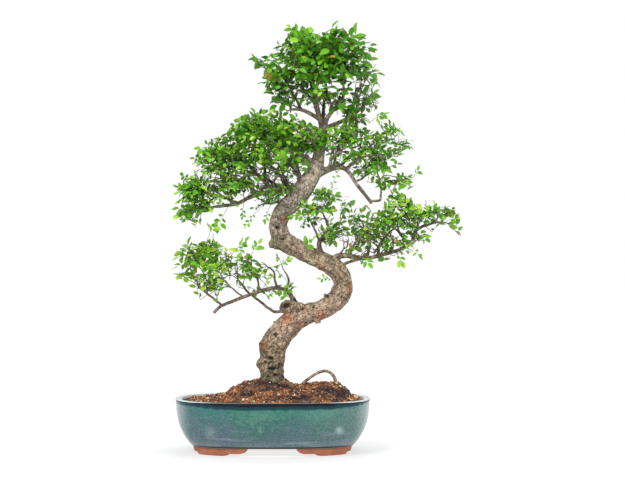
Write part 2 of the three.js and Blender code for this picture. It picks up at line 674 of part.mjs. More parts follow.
// The leafy shoot at the end of a stem, turned until it is clear of everything else
function leafyShoot({ run, heading, leaf, random }, obstacles) {
  for (let attempt = 0; attempt < TRIES; attempt += 1) {
    const loose = 0.1 + 0.06 * attempt;
    const direction = heading.clone();
    direction.applyAxisAngle(UP, loose * (random() - 0.5) * 2);
    direction.z += loose * (random() - 0.4);
    direction.normalize();
    const sideways = direction.clone().cross(UP).normalize();
    sideways.applyAxisAngle(direction, (SHOOT_ROLL + loose) * (random() - 0.5));
    const face = sideways.clone().cross(direction);
    const matrix = new THREE.Matrix4().makeBasis(direction, face.clone().cross(direction), face);
    matrix.setPosition(run.end);
    const size = leaf * (1.06 - 0.14 * random() - (attempt > TRIES / 2 ? 0.2 : 0));
    const arch = 0.08 + 0.2 * random();
    const droop = 0.35 * random();
    if (!overlaps(shootBlade(size, arch, droop, matrix, BLADE_CLEARANCE), obstacles)) {
      return shootBlade(size, arch, droop, matrix);
    }
  }
  return null;
}

// Where each spray grows: on the outer faces of its region's pads, and the sprigs on the trunk
function sprayPlans() {
  const plans = [];
  REGIONS.forEach((region, regionNumber) => {
    const holds = footholds(region.limbs);
    sprayTips(region).forEach(({ tip, outward }, number) => {
      const random = randomFrom(REGION_SEED * (regionNumber + 1) + number);
      const heading = shootHeading(outward, random);
      const end = tip.clone().addScaledVector(heading, -SHOOT_REACH * region.leaf);
      const hold = bestFoothold(holds, end);
      const name = `spray_${region.name}_${String(number + 1).padStart(2, '0')}`;
      plans.push({ name, foot: hold.place, growth: hold.heading, end, heading, leaf: region.leaf, random });
    });
  });
  TRUNK_SPRIGS.forEach(([x0, y0, z0, x1, y1, z1], number) => {
    const foot = new THREE.Vector3(x0, y0, z0);
    const end = new THREE.Vector3(x1, y1, z1);
    const heading = end.clone().sub(foot).normalize();
    const name = `sprig_trunk_${number + 1}`;
    const random = randomFrom(SPRIG_SEED + number);
    plans.push({ name, foot, growth: heading, end, heading, leaf: SPRIG_LEAF, random });
  });
  return plans;
}

// The tree with its branchlets, and the sprays: first all stems, clear of each other, then the leaves
function buildCanopy(woody) {
  const wood = [woody];
  const stems = [];
  const plans = sprayPlans();
  plans.forEach((plan) => {
    for (let attempt = 0; attempt < TRIES && !plan.run; attempt += 1) {
      const run = sprayRun(plan, attempt);
      const stemRoom = limb(run.stemPoints, TWIG_SIDES, 2, undefined, BLADE_CLEARANCE);
      const branchletRoom = limb(run.branchletPoints, TWIG_SIDES, 2, undefined, BLADE_CLEARANCE);
      if (!overlaps(stemRoom, [...wood, ...stems]) && !overlaps(branchletRoom, stems)) {
        plan.run = run;
        plan.stem = limb(run.stemPoints, TWIG_SIDES, 2);
        wood.push(limb(run.branchletPoints, TWIG_SIDES, 2));
        stems.push(plan.stem);
      }
    }
  });
  const tree = oneBody(union(wood));
  const grown = plans.filter(({ run }) => run);
  const sprays = [];
  grown.forEach((plan, number) => {
    const bareStems = grown.slice(number + 1).map(({ stem }) => stem);
    const obstacles = [tree, ...bareStems, ...sprays.map(({ shape }) => shape)];
    const blade = leafyShoot(plan, obstacles);
    if (blade) {
      sprays.push({ name: plan.name, shape: oneBody(plan.stem.add(blade)) });
    }
  });
  return { tree, sprays };
}

function buildWoody() {
  const branches = [...LOW_LEFT, ...MID_RIGHT, ...HIGH_RIGHT, ...HIGH_LEFT, ...CROWN, ...STUBS].map(branch);
  return union([rootedParts(0), ...branches, ...BURRS.map(burr)]);
}

const bonsai = new THREE.Group();
bonsai.position.set(POT_CENTRE_X, POT_CENTRE_Y, 0);

bonsai.add(namedMesh('pot', buildPot(), 0x587d7a, 0.25));
bonsai.add(namedMesh('drain_screen_left', buildScreen(-HOLE_X), 0x2b2b2b, 0.7));
bonsai.add(namedMesh('drain_screen_right', buildScreen(HOLE_X), 0x2b2b2b, 0.7));
bonsai.add(namedMesh('soil', buildSoil(), 0x855a3f, 0.95));

const { tree, sprays } = buildCanopy(buildWoody());
bonsai.add(namedMesh('tree', tree, 0xa5937c, 0.85));
sprays.forEach(({ name, shape }) => {
  bonsai.add(namedMesh(name, shape, 0x6b8147, 0.6));
});

const part = new THREE.Group();
part.add(bonsai);

export default part;
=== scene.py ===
import itertools
import json
import math

import bpy
import numpy as np
from mathutils import Matrix, Vector, kdtree, noise
from mathutils.bvhtree import BVHTree

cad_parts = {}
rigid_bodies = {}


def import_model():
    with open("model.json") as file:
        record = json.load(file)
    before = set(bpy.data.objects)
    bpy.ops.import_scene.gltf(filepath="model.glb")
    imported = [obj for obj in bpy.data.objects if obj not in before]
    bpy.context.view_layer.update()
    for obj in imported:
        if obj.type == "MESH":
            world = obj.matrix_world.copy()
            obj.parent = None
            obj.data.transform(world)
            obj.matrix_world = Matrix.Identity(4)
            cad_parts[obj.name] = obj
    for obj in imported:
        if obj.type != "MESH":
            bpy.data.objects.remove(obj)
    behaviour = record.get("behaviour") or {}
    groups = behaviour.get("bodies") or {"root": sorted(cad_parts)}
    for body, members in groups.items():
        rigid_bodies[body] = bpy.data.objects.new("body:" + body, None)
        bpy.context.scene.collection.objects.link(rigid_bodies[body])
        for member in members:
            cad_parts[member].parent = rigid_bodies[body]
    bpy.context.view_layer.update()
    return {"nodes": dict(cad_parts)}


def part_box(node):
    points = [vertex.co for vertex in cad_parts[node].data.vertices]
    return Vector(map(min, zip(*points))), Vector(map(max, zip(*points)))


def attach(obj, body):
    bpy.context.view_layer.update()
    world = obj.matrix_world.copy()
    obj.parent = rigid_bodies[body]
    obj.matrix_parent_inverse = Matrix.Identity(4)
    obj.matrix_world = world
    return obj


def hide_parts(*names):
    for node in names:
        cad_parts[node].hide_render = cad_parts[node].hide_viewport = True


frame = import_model()

bl_info = {
    "name": "Zelkova Bonsai",
    "version": (1, 0, 0),
    "blender": (4, 5, 0),
    "location": "3D View > Sidebar > Bonsai",
    "description": "A potted zelkova bonsai: glazed pot, soil, bark, twigs and leaves",
    "category": "Add Mesh",
}

# Shapes are worked out in millimetres from the middle of the pot on the ground, as in the part's
# source, and moved to the frame's metres when their mesh is made.
POT_X = -82.0
MM = 0.001

# Pot
DEPTH_INSET = 60.0
NECK_HALF_LENGTH = 198.6
NECK_HEIGHT = 106.0
BASE_HALF_LENGTH = 166.0
BASE_HEIGHT = 15.0
BELLY_POWER = 2.5
WALL = 13.0
PLAN_POWER = 2.8
FLOOR_HEIGHT = 24.0
HOLE_X = 72.0
HOLE_RADIUS = 13.0
HOLE_CUT_HEIGHTS = (5, 20, 40)
SCREEN_LIFT = 0.65
FOOT_WIDTH = 18.0
FOOT_STEP_HEIGHT = 4.5
# How far a foot's run lies inside the edge of the base, and how far its top reaches into the bowl
FOOT_INSET = 3
FOOT_SINK = 2
# How far a foot's face stands back at its top, and how much more of that there is at the ground
FOOT_SETBACK = 2.4
FOOT_LEAN = 1.8
# Where a foot starts, meets its step, leaves it and stands, along the front and along the side
FOOT_FRONT = (52.0, 63.0, 94.0, 101.0)
FOOT_SIDE = (26.0, 34.0, 53.0, 59.0)

# The bowl's section as half lengths and heights. The roundings are set in from the belly or the
# inside at a height: that height, how far in, and the height of the point
BOWL_UNDERSIDE = ((60, 15.0), (110, 15.0), (150, 15.0), (163.4, 15.0), (165.2, 15.25), (166.0, 15.9))
BASE_ROUNDING = ((17.0, 1.2, 16.8), (18.0, 0.8, 17.8))
OUTSIDE_HEIGHTS = (19.0, 21.0, 23.5, 26.5, 30.0, 34.0, 38.5, 43.5, 49.0, 55.0, 61.0, 67.5, 74.0, 80.5,
                   86.5, 92.0, 96.5, 100.0, 103.0)
LIP_PROFILE = ((198.8, 105.0), (199.3, 106.6), (199.7, 107.8), (199.7, 108.7), (199.3, 109.4),
               (198.5, 109.85), (197.2, 110.0), (192.0, 110.0), (187.8, 109.85), (186.7, 109.4),
               (186.2, 108.3))
INSIDE_HEIGHTS = (106.0, 103.0, 98.0, 88.0, 74.0, 60.0, 46.0, 36.0, 31.0)
FLOOR_ROUNDING = ((28.0, 1.4, 27.0), (26.0, 3.6, 24.8), (24.0, 7.0, 24.0))
BOWL_FLOOR = ((110, 24.0), (60, 24.0))

# Painted reflections of lights in the glaze, as soft pale marks: x, z, reach and strength
GLAZE_REFLECTIONS = [(137, 55, 11, 0.6), (-122, 49, 17, 0.22), (-22, 54, 9, 0.2)]

# Soil, and the mound's ridge as x and z
SOIL_EDGE_HEIGHT = 104.0
SOIL_RIDGE = [
    (-186, 104), (-137, 108), (-104, 115), (-78, 131), (-51, 142), (-31, 146), (23, 144),
    (48, 135), (76, 138), (107, 140), (134, 139), (148, 129), (163, 114), (186, 104),
]
# The mound's rounding to the front and back, and the height of its clods
SOIL_ROUNDING = 1.2
CLOD_HEIGHT = 1.6
# Its gap to the pot, the heights of its walls, and its bottom with the gap there
SOIL_GAP = 0.5
SOIL_WALLS = (100.0, 78.0, 45.0, 28.0)
SOIL_BOTTOM = FLOOR_HEIGHT + 2.2
SOIL_BOTTOM_GAP = 4.5
# Share of the mound's reach that granules are strewn over
STREWN_SHARE = 0.985
# How far noise pushes the edges of darker clods, in metres, and where they lie: x, y, z and reach
SOIL_WAVE = 0.06
DARK_SOIL = [
    (-10, -26, 143, 42), (0, -50, 133, 30), (40, -94, 115, 15), (70, -92, 115, 22), (112, -56, 130, 30),
    (138, -60, 125, 28), (-52, -78, 119, 24), (-36, -44, 136, 24), (20, -44, 136, 26), (44, -50, 132, 14),
    (150, -40, 127, 24),
]
# How far the ends of surface roots are sunk, and their lift above the ground as a share of their width
ROOT_END_SUNK = 3
ROOT_LIFT = 0.12
# x, y and diameter
SURFACE_ROOTS = [
    [(13, -22.5, 7), (27.5, -33, 5), (41.7, -40, 4.4), (54.1, -62, 3.4), (62.4, -89, 2)],
    [(100, -60, 3), (112, -72.5, 3.4), (124, -84.5, 3), (132, -92, 1.6)],
    [(-21, -30, 6), (-33, -46.5, 4.4), (-47, -70, 3), (-58, -83, 1.6)],
    [(30, 36, 6), (58, 58, 4.4), (76, 84, 2)],
    [(-40, 24, 6), (-74, 40, 4), (-98, 68, 2)],
]

# Trunk: x, y, z and diameter up its middle
TRUNK = [
    (-3, 0, 84, 40), (-3, 0, 112, 58), (-3, 0, 134, 56), (-3, 0, 151, 47), (-4, 0, 173, 46),
    (-2, 0, 196, 48), (2, 0, 218, 51), (14, 1, 237, 50), (29, 2, 254, 49), (49, 3, 271, 47),
    (73, 4, 282, 44), (98, 5, 289, 41.5), (124, 4, 304, 42), (141, 2, 324, 41), (145, 0, 343, 38),
    (139, -2, 363, 38), (126, -4, 378, 38), (102, -5, 391, 35), (75, -5, 402, 34), (50, -4, 416, 35),
    (26, -2, 429, 38), (14, 0, 446, 38), (10, 2, 467, 35), (16, 3, 486, 37), (30, 3, 504, 40),
    (48, 2, 521, 41), (64, 0, 544, 40), (78, -2, 563, 35), (89, -2, 584, 29), (95, 0, 613, 22.6),
    (100, 1, 641, 19.5), (104, 0, 668, 16.4),
]
# Burrs, knobs and healed cuts: x, y, z and radii
BURRS = [
    (-24, -6, 181, 10, 10, 11), (11, -2, 428, 17, 14, 14), (-1, -5, 424, 8, 9, 8), (38, -8, 296, 17, 15, 14),
    (-23, -8, 219, 6, 9, 8), (56, -14, 298, 11, 10, 9), (23, -11, 297, 9, 10, 10), (92, -16, 268, 8, 6, 5),
    (-19, 10, 200, 8, 10, 9), (146, 14, 330, 8, 9, 10), (60, 14, 520, 9, 8, 10), (4, 15, 452, 8, 8, 9),
]
# The collar that healed round a cut: its middle, its reach each way and its diameter
HEALED = (32, -22, 302)
COLLAR_REACH = (8.5, 1.5, 6.5)
COLLAR_WIDTH = 5.4
# Bark is drawn as if the skin lay this far out from the trunk's line, where it lies out this far at least
EVEN_RADIUS = 22
LEAST_RADIUS = 6
# Marks on the front of the trunk: x, z and half sizes. Rust patches where flakes of bark fell, and
# hollows with their depth, darkened inside with painted shade
RUST = [(28, 274, 15, 12), (98, 277, 10, 11), (158, 336, 6, 9), (26, 475, 8, 8), (-16, 216, 8, 11),
        (60, 260, 9, 5), (98, 378, 9, 5)]
HOLLOWS = [(-4, 192, 8.5, 4, 3.2), (-2, 170, 9, 3.6, 3.2), (9, 460, 6.5, 5, 4), (25, 299, 10, 7, 5.5),
           (14, 180, 4, 3, 2.0), (46, 311, 4.5, 3.5, 2.4), (84, 297, 3, 3, 1.6),
           (62, 292, 3.2, 4, 2.2), (20, 436, 7, 2.5, 1.8), (112, 318, 4, 3, 1.8), (6, 240, 4, 2.6, 1.4),
           (6, 158, 7, 3, 2.6), (-16, 184, 4, 2.6, 1.8), (40, 424, 6, 2, 1.8)]
# Roots under the soil: bearings, and the run of each as distance out, z and diameter
ROOT_BEARINGS = [20, 95, 160, 232, 305]
ROOT_RUN = [(8, 116, 26), (44, 106, 17), (82, 84, 10), (116, 58, 5)]
ROOT_DEPTH_SHARE = 0.68
# Wood as x, y, z and diameter: the arching root, stubs of old cuts and each region's limbs
LOOP_ROOT = [
    (4, -4, 114, 9), (28, -9, 119, 8), (48, -12, 128, 7.4), (64, -12, 142, 7.2), (79, -12, 154, 7.2),
    (95, -12, 163, 7), (110, -12, 165.5, 7), (121, -12, 159.5, 7.2), (127, -12, 151, 7.6),
    (129, -12, 140, 8), (134, -14, 122, 7), (150, -20, 98, 4),
]
STUBS = [
    [(8, 0, 256, 9), (2, -14, 268, 6.5)],
    [(122, 2, 306, 9), (106, -6, 322, 6.5)],
]
LIMBS = {
    "low_left": [
        [(56, 2, 284, 13), (47, -2, 303, 11.3), (32, -6, 326, 9.4), (18, -8, 334, 8.8), (-1, -9, 335, 8.2),
         (-43, -8, 323, 7.8), (-85, -5, 307, 7), (-108, -3, 297, 6.6), (-121, -2, 284, 6.4)],
        [(42, 6, 276, 9), (20, 10, 287, 7.4), (3, 14, 286, 6.2), (-31, 22, 310, 5.1), (-54, 27, 328, 4.7),
         (-75, 30, 356, 4.1)],
        [(-104, -3, 299, 5.4), (-127, -8, 318, 4.4), (-148, -12, 337, 3.8), (-161, -14, 360, 3.2)],
        [(9, -9, 335, 6), (5, -14, 351, 4.6), (3, -24, 368, 3.8), (-22, -30, 389, 3.2)],
        [(24, -7, 331, 6), (32, 4, 352, 4.4), (20, 14, 376, 3.4)],
        [(-60, -7, 317, 3.6), (-84, -22, 336, 3), (-108, -32, 364, 2.4)],
        [(-30, -9, 328, 5), (-31, 6, 348, 4), (-44, 14, 370, 3.2), (-54, 18, 386, 2.4)],
    ],
    "mid_right": [
        [(124, -4, 380, 18), (130, -5, 398, 14.4), (146, -6, 402, 11.3), (191, -7, 396, 8.4),
         (225, -6, 404, 8.6), (266, -4, 416, 8.2), (284, -3, 428, 8), (295, 0, 454, 7), (333, 3, 469, 4.6),
         (366, 3, 468, 3.2)],
        [(106, -5, 390, 16), (97, -8, 411, 12.3), (96, -10, 432, 9.2), (113, -12, 450, 7), (105, -15, 483, 4),
         (93, -16, 496, 3.2)],
        [(95, -10, 434, 5.4), (84, -4, 458, 4), (74, 2, 479, 3.2)],
        [(193, -6, 397, 6.4), (200, 12, 425, 4.8), (194, 24, 452, 3.6)],
        [(243, -5, 407, 6.4), (246, -22, 432, 4.8), (236, -32, 458, 3.6)],
        [(156, -6, 400, 7), (166, -20, 424, 5.4), (186, -28, 448, 4), (210, -30, 468, 3)],
        [(215, -7, 400, 7), (222, 12, 428, 5), (244, 22, 452, 4), (262, 24, 470, 3)],
        [(280, -3, 424, 7), (262, 10, 446, 5), (252, 16, 470, 3.4)],
        [(292, -1, 446, 6), (300, -14, 470, 4.4), (320, -22, 490, 3)],
        [(134, -10, 378, 8), (150, -11, 386, 6.4), (166, -9, 392, 5.8), (186, -8, 396, 5.4)],
    ],
    "high_right": [
        [(82, -2, 566, 24), (98, -4, 572, 16.4), (121, -6, 581, 12.3), (143, -8, 582, 10.3),
         (156, -8, 572, 8.6), (170, -8, 551, 7.8), (203, -4, 509, 6.6)],
        [(198, -4, 514, 5.4), (219, -2, 516, 4.8), (222, 0, 540, 4.2), (210, 4, 586, 3.2)],
        [(136, -8, 582, 8.4), (156, 2, 604, 6.4), (185, 10, 616, 4.8), (236, 12, 608, 3.2)],
        [(114, -6, 579, 7.4), (126, -24, 606, 5.4), (160, -34, 630, 3.8)],
        [(150, -8, 578, 8), (170, -16, 596, 6), (198, -22, 606, 4.6), (232, -22, 604, 3.2)],
        [(168, -8, 554, 4.6), (184, 4, 560, 4), (204, 8, 574, 3.2), (240, 8, 582, 2.4)],
        [(220, 0, 542, 3.6), (232, 0, 553, 3), (262, 2, 557, 2.6), (288, 2, 560, 2)],
        [(124, -6, 581, 7), (132, 6, 616, 5), (150, 10, 652, 4), (164, 8, 676, 2.8)],
    ],
    "high_left": [
        [(54, 0, 530, 15), (30, -3, 543, 11), (-1, -5, 541, 9), (-22, -6, 558, 8), (-43, -6, 581, 7.2),
         (-60, -5, 596, 6.6), (-88, -4, 602, 5.3)],
        [(46, 4, 524, 12), (29, 8, 533, 10.4), (-10, 10, 532, 9.4), (-43, 10, 524, 8.8), (-72, 8, 509, 8.2),
         (-106, 6, 503, 6.2), (-150, 4, 499, 4.6)],
        [(86, -4, 590, 13), (70, -20, 602, 8), (44, -34, 612, 6), (14, -40, 622, 4.4)],
        [(94, 3, 610, 11), (84, 24, 622, 7), (66, 44, 636, 4.6)],
        [(-16, -6, 551, 7), (-16, 8, 588, 5.6), (-8, 14, 634, 4)],
        [(36, -2, 538, 9), (20, -14, 560, 7), (-2, -22, 584, 6), (-30, -26, 604, 4)],
        [(10, -4, 543, 8), (-14, -12, 560, 6.4), (-40, -18, 570, 5), (-74, -20, 582, 3.4)],
        [(-30, 10, 527, 8), (-52, 4, 545, 6), (-86, -2, 556, 4.6), (-122, -4, 562, 3.2)],
        [(-72, 8, 509, 6.6), (-98, 0, 520, 5), (-136, -6, 530, 4), (-168, -6, 540, 2.8)],
        [(60, 0, 548, 9), (52, -22, 576, 7), (40, -32, 610, 5), (34, -34, 640, 3.6)],
        [(84, -2, 586, 8), (86, -20, 612, 6), (84, -30, 640, 4.6), (80, -32, 662, 3)],
        [(12, 0, 512, 5), (-6, -4, 509, 4.2), (-20, -6, 507, 3.6), (-34, -8, 498, 2.8)],
    ],
    "crown": [
        [(102, 0, 658, 14), (98, -2, 678, 10), (80, -6, 691, 8.8), (52, -8, 702, 7.4), (27, -8, 697, 4.4)],
        [(103, 1, 662, 14), (96, 4, 685, 10.3), (87, 6, 715, 10), (80, 6, 750, 7.4), (72, 6, 781, 5)],
        [(104, 0, 660, 12), (112, -6, 684, 9), (125, -10, 701, 8.2), (144, -10, 726, 6.2), (142, -6, 780, 4)],
        [(103, 0, 658, 13), (126, 3, 671, 9.4), (142, 5, 678, 8.4), (178, 7, 701, 6.6), (205, 8, 738, 4.2)],
        [(103, 2, 664, 11), (104, 24, 700, 7), (108, 46, 752, 4)],
        [(101, -2, 668, 10), (92, -26, 706, 6.8), (84, -46, 752, 4)],
        [(60, -8, 700, 6), (46, -14, 724, 5), (34, -16, 748, 4), (22, -14, 768, 3)],
        [(88, 6, 712, 7), (66, -4, 738, 5.4), (46, -8, 764, 4)],
        [(124, -10, 700, 6.4), (112, -16, 734, 5), (108, -18, 768, 3.6)],
        [(170, 7, 697, 5.6), (176, -4, 724, 4.4), (186, -8, 748, 3)],
        [(150, 6, 684, 6), (168, 14, 716, 4.6), (170, 18, 752, 3.2)],
    ],
}
# Limbs from this diameter up are part of the trunk's skin
THICK_LIMB = 7.4

# Foliage pads of each region: x, y, z, radii, leafy shoots and bare twigs; then the leaf length and
# how much lighter the leaves are than the crown's
FOLIAGE = {
    "crown": {
        "leaf": 22.0, "light": 0.02, "seed": 11,
        "pads": [
            (66, 0, 806, 88, 88, 75, 80, 10), (131, 2, 817, 86, 82, 64, 62, 8),
            (6, 0, 752, 36, 50, 44, 16, 8), (188, 0, 780, 45, 50, 36, 7, 16),
            (92, -24, 736, 56, 40, 34, 12, 18), (189, -4, 726, 42, 40, 38, 5, 36),
            (42, -20, 738, 32, 26, 34, 2, 54), (120, -10, 716, 44, 40, 32, 3, 40),
            (-26, 0, 800, 16, 24, 16, 4, 1), (22, -8, 718, 24, 22, 14, 4, 6),
            (150, -6, 722, 22, 26, 18, 5, 8),
        ],
    },
    "high_left": {
        "leaf": 16.0, "light": 0.17, "seed": 23,
        "pads": [
            (-22, 4, 652, 78, 76, 54, 104, 10), (-98, 0, 600, 72, 74, 44, 76, 12),
            (-162, 0, 536, 46, 54, 42, 38, 10), (-184, 0, 492, 22, 34, 18, 8, 1),
            (-98, 0, 644, 20, 30, 14, 4, 1), (36, -4, 678, 28, 34, 13, 6, 4),
            (74, -16, 666, 22, 28, 12, 4, 3), (-92, -8, 520, 24, 20, 16, 3, 16),
            (56, 10, 640, 54, 62, 34, 20, 8), (100, 0, 646, 30, 40, 28, 4, 4),
            (-72, -20, 556, 44, 46, 28, 16, 30), (4, -14, 580, 70, 46, 34, 12, 80),
            (-40, 0, 540, 60, 44, 24, 6, 40), (-30, -24, 606, 76, 52, 34, 24, 10),
            (66, -28, 628, 46, 28, 40, 21, 10), (104, -26, 640, 28, 24, 34, 7, 6),
            (46, -24, 592, 42, 26, 22, 10, 26), (-110, -6, 545, 62, 40, 30, 18, 30),
            (-16, -26, 550, 62, 18, 28, 2, 70), (20, -20, 560, 40, 16, 24, 0, 60),
            (-152, -6, 508, 42, 40, 22, 16, 4), (-8, -26, 524, 52, 14, 18, 5, 50),
            (30, -26, 540, 26, 10, 22, 2, 34),
        ],
    },
    "high_right": {
        "leaf": 16.5, "light": 0.17, "seed": 37,
        "pads": [
            (160, 0, 648, 44, 56, 32, 15, 8), (205, 0, 631, 52, 62, 37, 20, 12),
            (216, 0, 599, 34, 48, 34, 11, 14), (236, 0, 666, 44, 46, 16, 6, 6),
            (190, 0, 582, 38, 40, 20, 7, 34), (128, -14, 640, 30, 30, 44, 9, 8),
            (270, 0, 634, 24, 28, 11, 5, 2), (270, 0, 564, 24, 28, 10, 5, 2),
            (150, -12, 610, 40, 34, 26, 5, 22), (168, -4, 684, 36, 34, 14, 7, 12),
            (229, -2, 554, 17, 24, 20, 5, 3), (248, 0, 521, 6, 14, 9, 2, 0),
        ],
    },
    "mid_right": {
        "leaf": 16.5, "light": 0.22, "seed": 41,
        "pads": [
            (88, -12, 500, 54, 42, 24, 11, 12), (110, -10, 530, 46, 36, 20, 9, 12),
            (184, 0, 470, 58, 60, 36, 24, 16), (256, 0, 484, 56, 64, 44, 33, 14),
            (314, 0, 492, 38, 48, 26, 12, 5), (362, 0, 492, 15, 26, 14, 6, 1),
            (210, -10, 430, 90, 50, 26, 15, 90), (112, -8, 456, 34, 36, 26, 4, 14),
            (306, -4, 440, 16, 22, 12, 4, 1), (122, -14, 434, 34, 26, 18, 2, 34),
            (216, -10, 408, 86, 18, 9, 2, 34), (272, 0, 524, 20, 28, 9, 5, 2),
            (154, -8, 512, 16, 24, 14, 3, 4), (144, -10, 448, 24, 22, 14, 3, 18),
        ],
    },
    "low_left": {
        "leaf": 18.5, "light": 0.3, "seed": 53,
        "pads": [
            (-160, 0, 405, 49, 56, 38, 19, 8), (-90, 0, 384, 56, 56, 34, 15, 12),
            (-128, 0, 424, 22, 34, 26, 7, 2), (-178, 0, 362, 24, 34, 15, 4, 3),
            (-125, -6, 346, 38, 44, 24, 5, 36), (-30, -6, 374, 30, 36, 16, 4, 9),
            (-10, -10, 329, 12, 12, 9, 2, 0), (31, -6, 338, 17, 20, 13, 3, 2),
            (-64, -10, 364, 24, 26, 12, 2, 8),
        ],
    },
}
# Sprigs that stand out: foot, tip, leaves, leaf length, the region they are made with, and whether a
# twig is grown to their foot
SPRIGS = [
    ((138, -8, 344), (100, -30, 356), 5, 11, "mid_right", False),
    ((60, -14, 404), (76, -40, 428), 8, 18, "mid_right", False),
    ((104, -15, 486), (134, -22, 574), 6, 8, "mid_right", False),
    ((96, -14, 470), (40, -34, 482), 6, 15, "mid_right", True),
    ((198, 6, 674), (226, 0, 690), 4, 16, "high_right", True),
    ((223, -2, 538), (246, -8, 535), 3, 17, "high_right", False),
    ((168, -12, 400), (194, -28, 388), 5, 15, "mid_right", False),
    ((250, -8, 409), (262, -18, 392), 3, 16, "mid_right", False),
    ((282, -6, 424), (298, -16, 402), 3, 13, "mid_right", False),
    ((352, 2, 469), (374, -8, 478), 4, 15, "mid_right", False),
    ((-90, 6, 505), (-112, 0, 460), 5, 15, "high_left", False),
    ((288, 2, 560), (298, -6, 576), 3, 14, "high_right", False),
    ((-60, 8, 512), (-62, 2, 484), 4, 10, "high_left", False),
    ((10, 2, 511), (-38, -4, 500), 3, 9, "high_left", False),
    ((-20, -2, 505), (-54, -8, 462), 6, 9, "high_left", False),
    ((-4, 0, 508), (-14, -8, 474), 5, 9, "high_left", False),
    ((44, -44, 584), (18, -64, 598), 7, 20, "high_left", True),
    ((-4, -44, 598), (-24, -64, 610), 6, 18, "high_left", True),
    ((-42, -42, 576), (-62, -60, 582), 5, 16, "high_left", True),
    ((-56, -42, 554), (-82, -60, 542), 7, 16, "high_left", True),
    ((-86, -32, 528), (-110, -50, 520), 5, 14, "high_left", True),
    ((3, -24, 368), (34, -34, 396), 7, 12, "low_left", False),
    ((20, 13, 374), (10, -24, 400), 4, 12, "low_left", False),
    ((29, 2, 348), (14, -14, 364), 3, 13, "low_left", False),
    ((-86, -4, 400), (-58, -10, 430), 5, 17, "low_left", True),
    ((-50, -4, 392), (-30, -10, 424), 5, 15, "low_left", True),
    ((-136, -4, 430), (-120, -12, 462), 4, 17, "low_left", True),
    ((-22, -6, 330), (-9, -16, 352), 4, 12, "low_left", False),
]
# The region whose pieces also stand for the sprigs on the trunk
TRUNK_SPRIG_REGION = "mid_right"
# Where the noises that bend a limb each way are read
KINK_SHIFTS = ((0.0, 0.0, 0.0), (31.4, 7.2, 15.9), (9.5, 42.3, 27.6))
# How fine those noises are, and how far they bend a limb
KINK_PITCH = 0.11
KINK_REACH = 1.7
SPOT_TRIES = 7
# Lowest way out to a leafy spot of a pad
LOWEST_LEAFY = -0.62
TWIG_STEP = 5.0
SHORTEST_TWIG = 7
# What length and bend count when a twig's foot is chosen
TWIG_LENGTH_POWER = 1.15
TWIG_TURN = 1.55
# How far a twig leaves along its parent, how unevenly it bends, and how much it wanders in mm
TWIG_LEAVE = 0.22
TWIG_BEND = 0.09
TWIG_WANDER = 0.75
# Power of what a twig carries that its radius grows with, and its most as a share of its parent's
LOAD_POWER = 0.44
PARENT_SHARE = 0.86
# Radii
THINNEST_TWIG = 0.6
THICKEST_TWIG = 2.8
# How green and how light a twig's bark is
TWIG_BLOOM = 0.1
TWIG_TONE = 0.6
# How much of its way up or down a shoot keeps, and its diameters at foot and tip
SHOOT_LEVEL = 0.5
STEM_WIDTHS = (1.05, 0.6)
# Points of a shoot's stem, how far it zigzags in mm, its steepest way down, and how few and how many
# side leaves it has, the second number left out
SHOOT_POINTS = 7
SHOOT_ZIGZAG = 0.35
STEEPEST_DROP = -0.16
SIDE_LEAVES = (4, 8)
# Spreads of the leaf length from shoot to shoot and from leaf to leaf
SHOOT_SPREAD = (0.82, 1.16)
LEAF_SPREAD = (0.84, 1.14)
# Angle between leaf and stem, in radians, and how much it varies
LEAF_ANGLE = (0.95, 0.16)
# Seed of the draws for how light each branch and twig is
TONE_SEED = 3
# Shares of the shoots that are brighter and of the leaves that have turned
BRIGHT_SHARE = 0.05
BRIGHT_TINT = 0.3
TURNED_SHARE = 0.005
TURNED_TINT = 1.15
# Leaf lengths from the shoot's foot on, and the gap between leaves as a share of their length
LEAF_SIZES = (0.72, 0.88, 1.0, 1.06, 1.04, 0.98, 0.9, 0.84)
LEAF_PITCH = 0.4
# A leaf of unit length: y and half width of its edge, y of its rib, and fold, curl and twist of each
LEAF_EDGE = [(0.1, 0.012), (0.17, 0.105), (0.3, 0.205), (0.44, 0.252), (0.48, 0.24), (0.62, 0.246),
             (0.66, 0.228), (0.8, 0.175), (0.93, 0.085)]
LEAF_RIB = [0.14, 0.44, 0.76]
LEAF_HALF_THICKNESS = 0.007
LEAF_FORMS = [(0.16, 0.1, 0.02), (0.34, 0.26, -0.03), (0.5, 0.05, 0.05), (0.24, 0.42, -0.05)]

# Stage, in metres: camera, lens, and the lights as name, place, aim and size
CAMERA_PLACE = (-0.0006, -4.2, 0.48)
CAMERA_TILT = -0.0103
LENS = 117.8
LIGHTS = [
    ("key_light", (-1.5, -2.4, 2.6), (0, 0, 0.4), (1.6, 1.6)),
    ("fill_light", (2.2, -1.6, 1.6), (0, 0, 0.4), (1.4, 1.8)),
    ("top_light", (0.2, 0.6, 3.0), (0, 0, 0.3), (2.2, 2.2)),
]
FLOOR = 9.0


# --- Helpers ------------------------------------------------------------------------------------


def paint(red, green, blue):
    """A colour given in screen values from 0 to 255, as the shader's linear colour."""
    shares = (((c / 255 + 0.055) / 1.055) ** 2.4 if c > 10 else c / 3294.6
              for c in (red, green, blue))
    return (*shares, 1.0)


def to_frame(points):
    """Millimetres from the middle of the pot as metres in the frame."""
    return (np.asarray(points, float)[:, :3] + np.array([POT_X, 0.0, 0.0])) * MM


def settings():
    """The values that the panel shows."""
    return bpy.context.scene.zelkova_bonsai


def unit(vectors):
    """The vectors at length 1."""
    vectors = np.asarray(vectors, float)
    return vectors / np.maximum(np.linalg.norm(vectors, axis=-1, keepdims=True), 1e-9)


def clamped(value, low=0.0, high=1.0):
    return max(low, min(high, value))


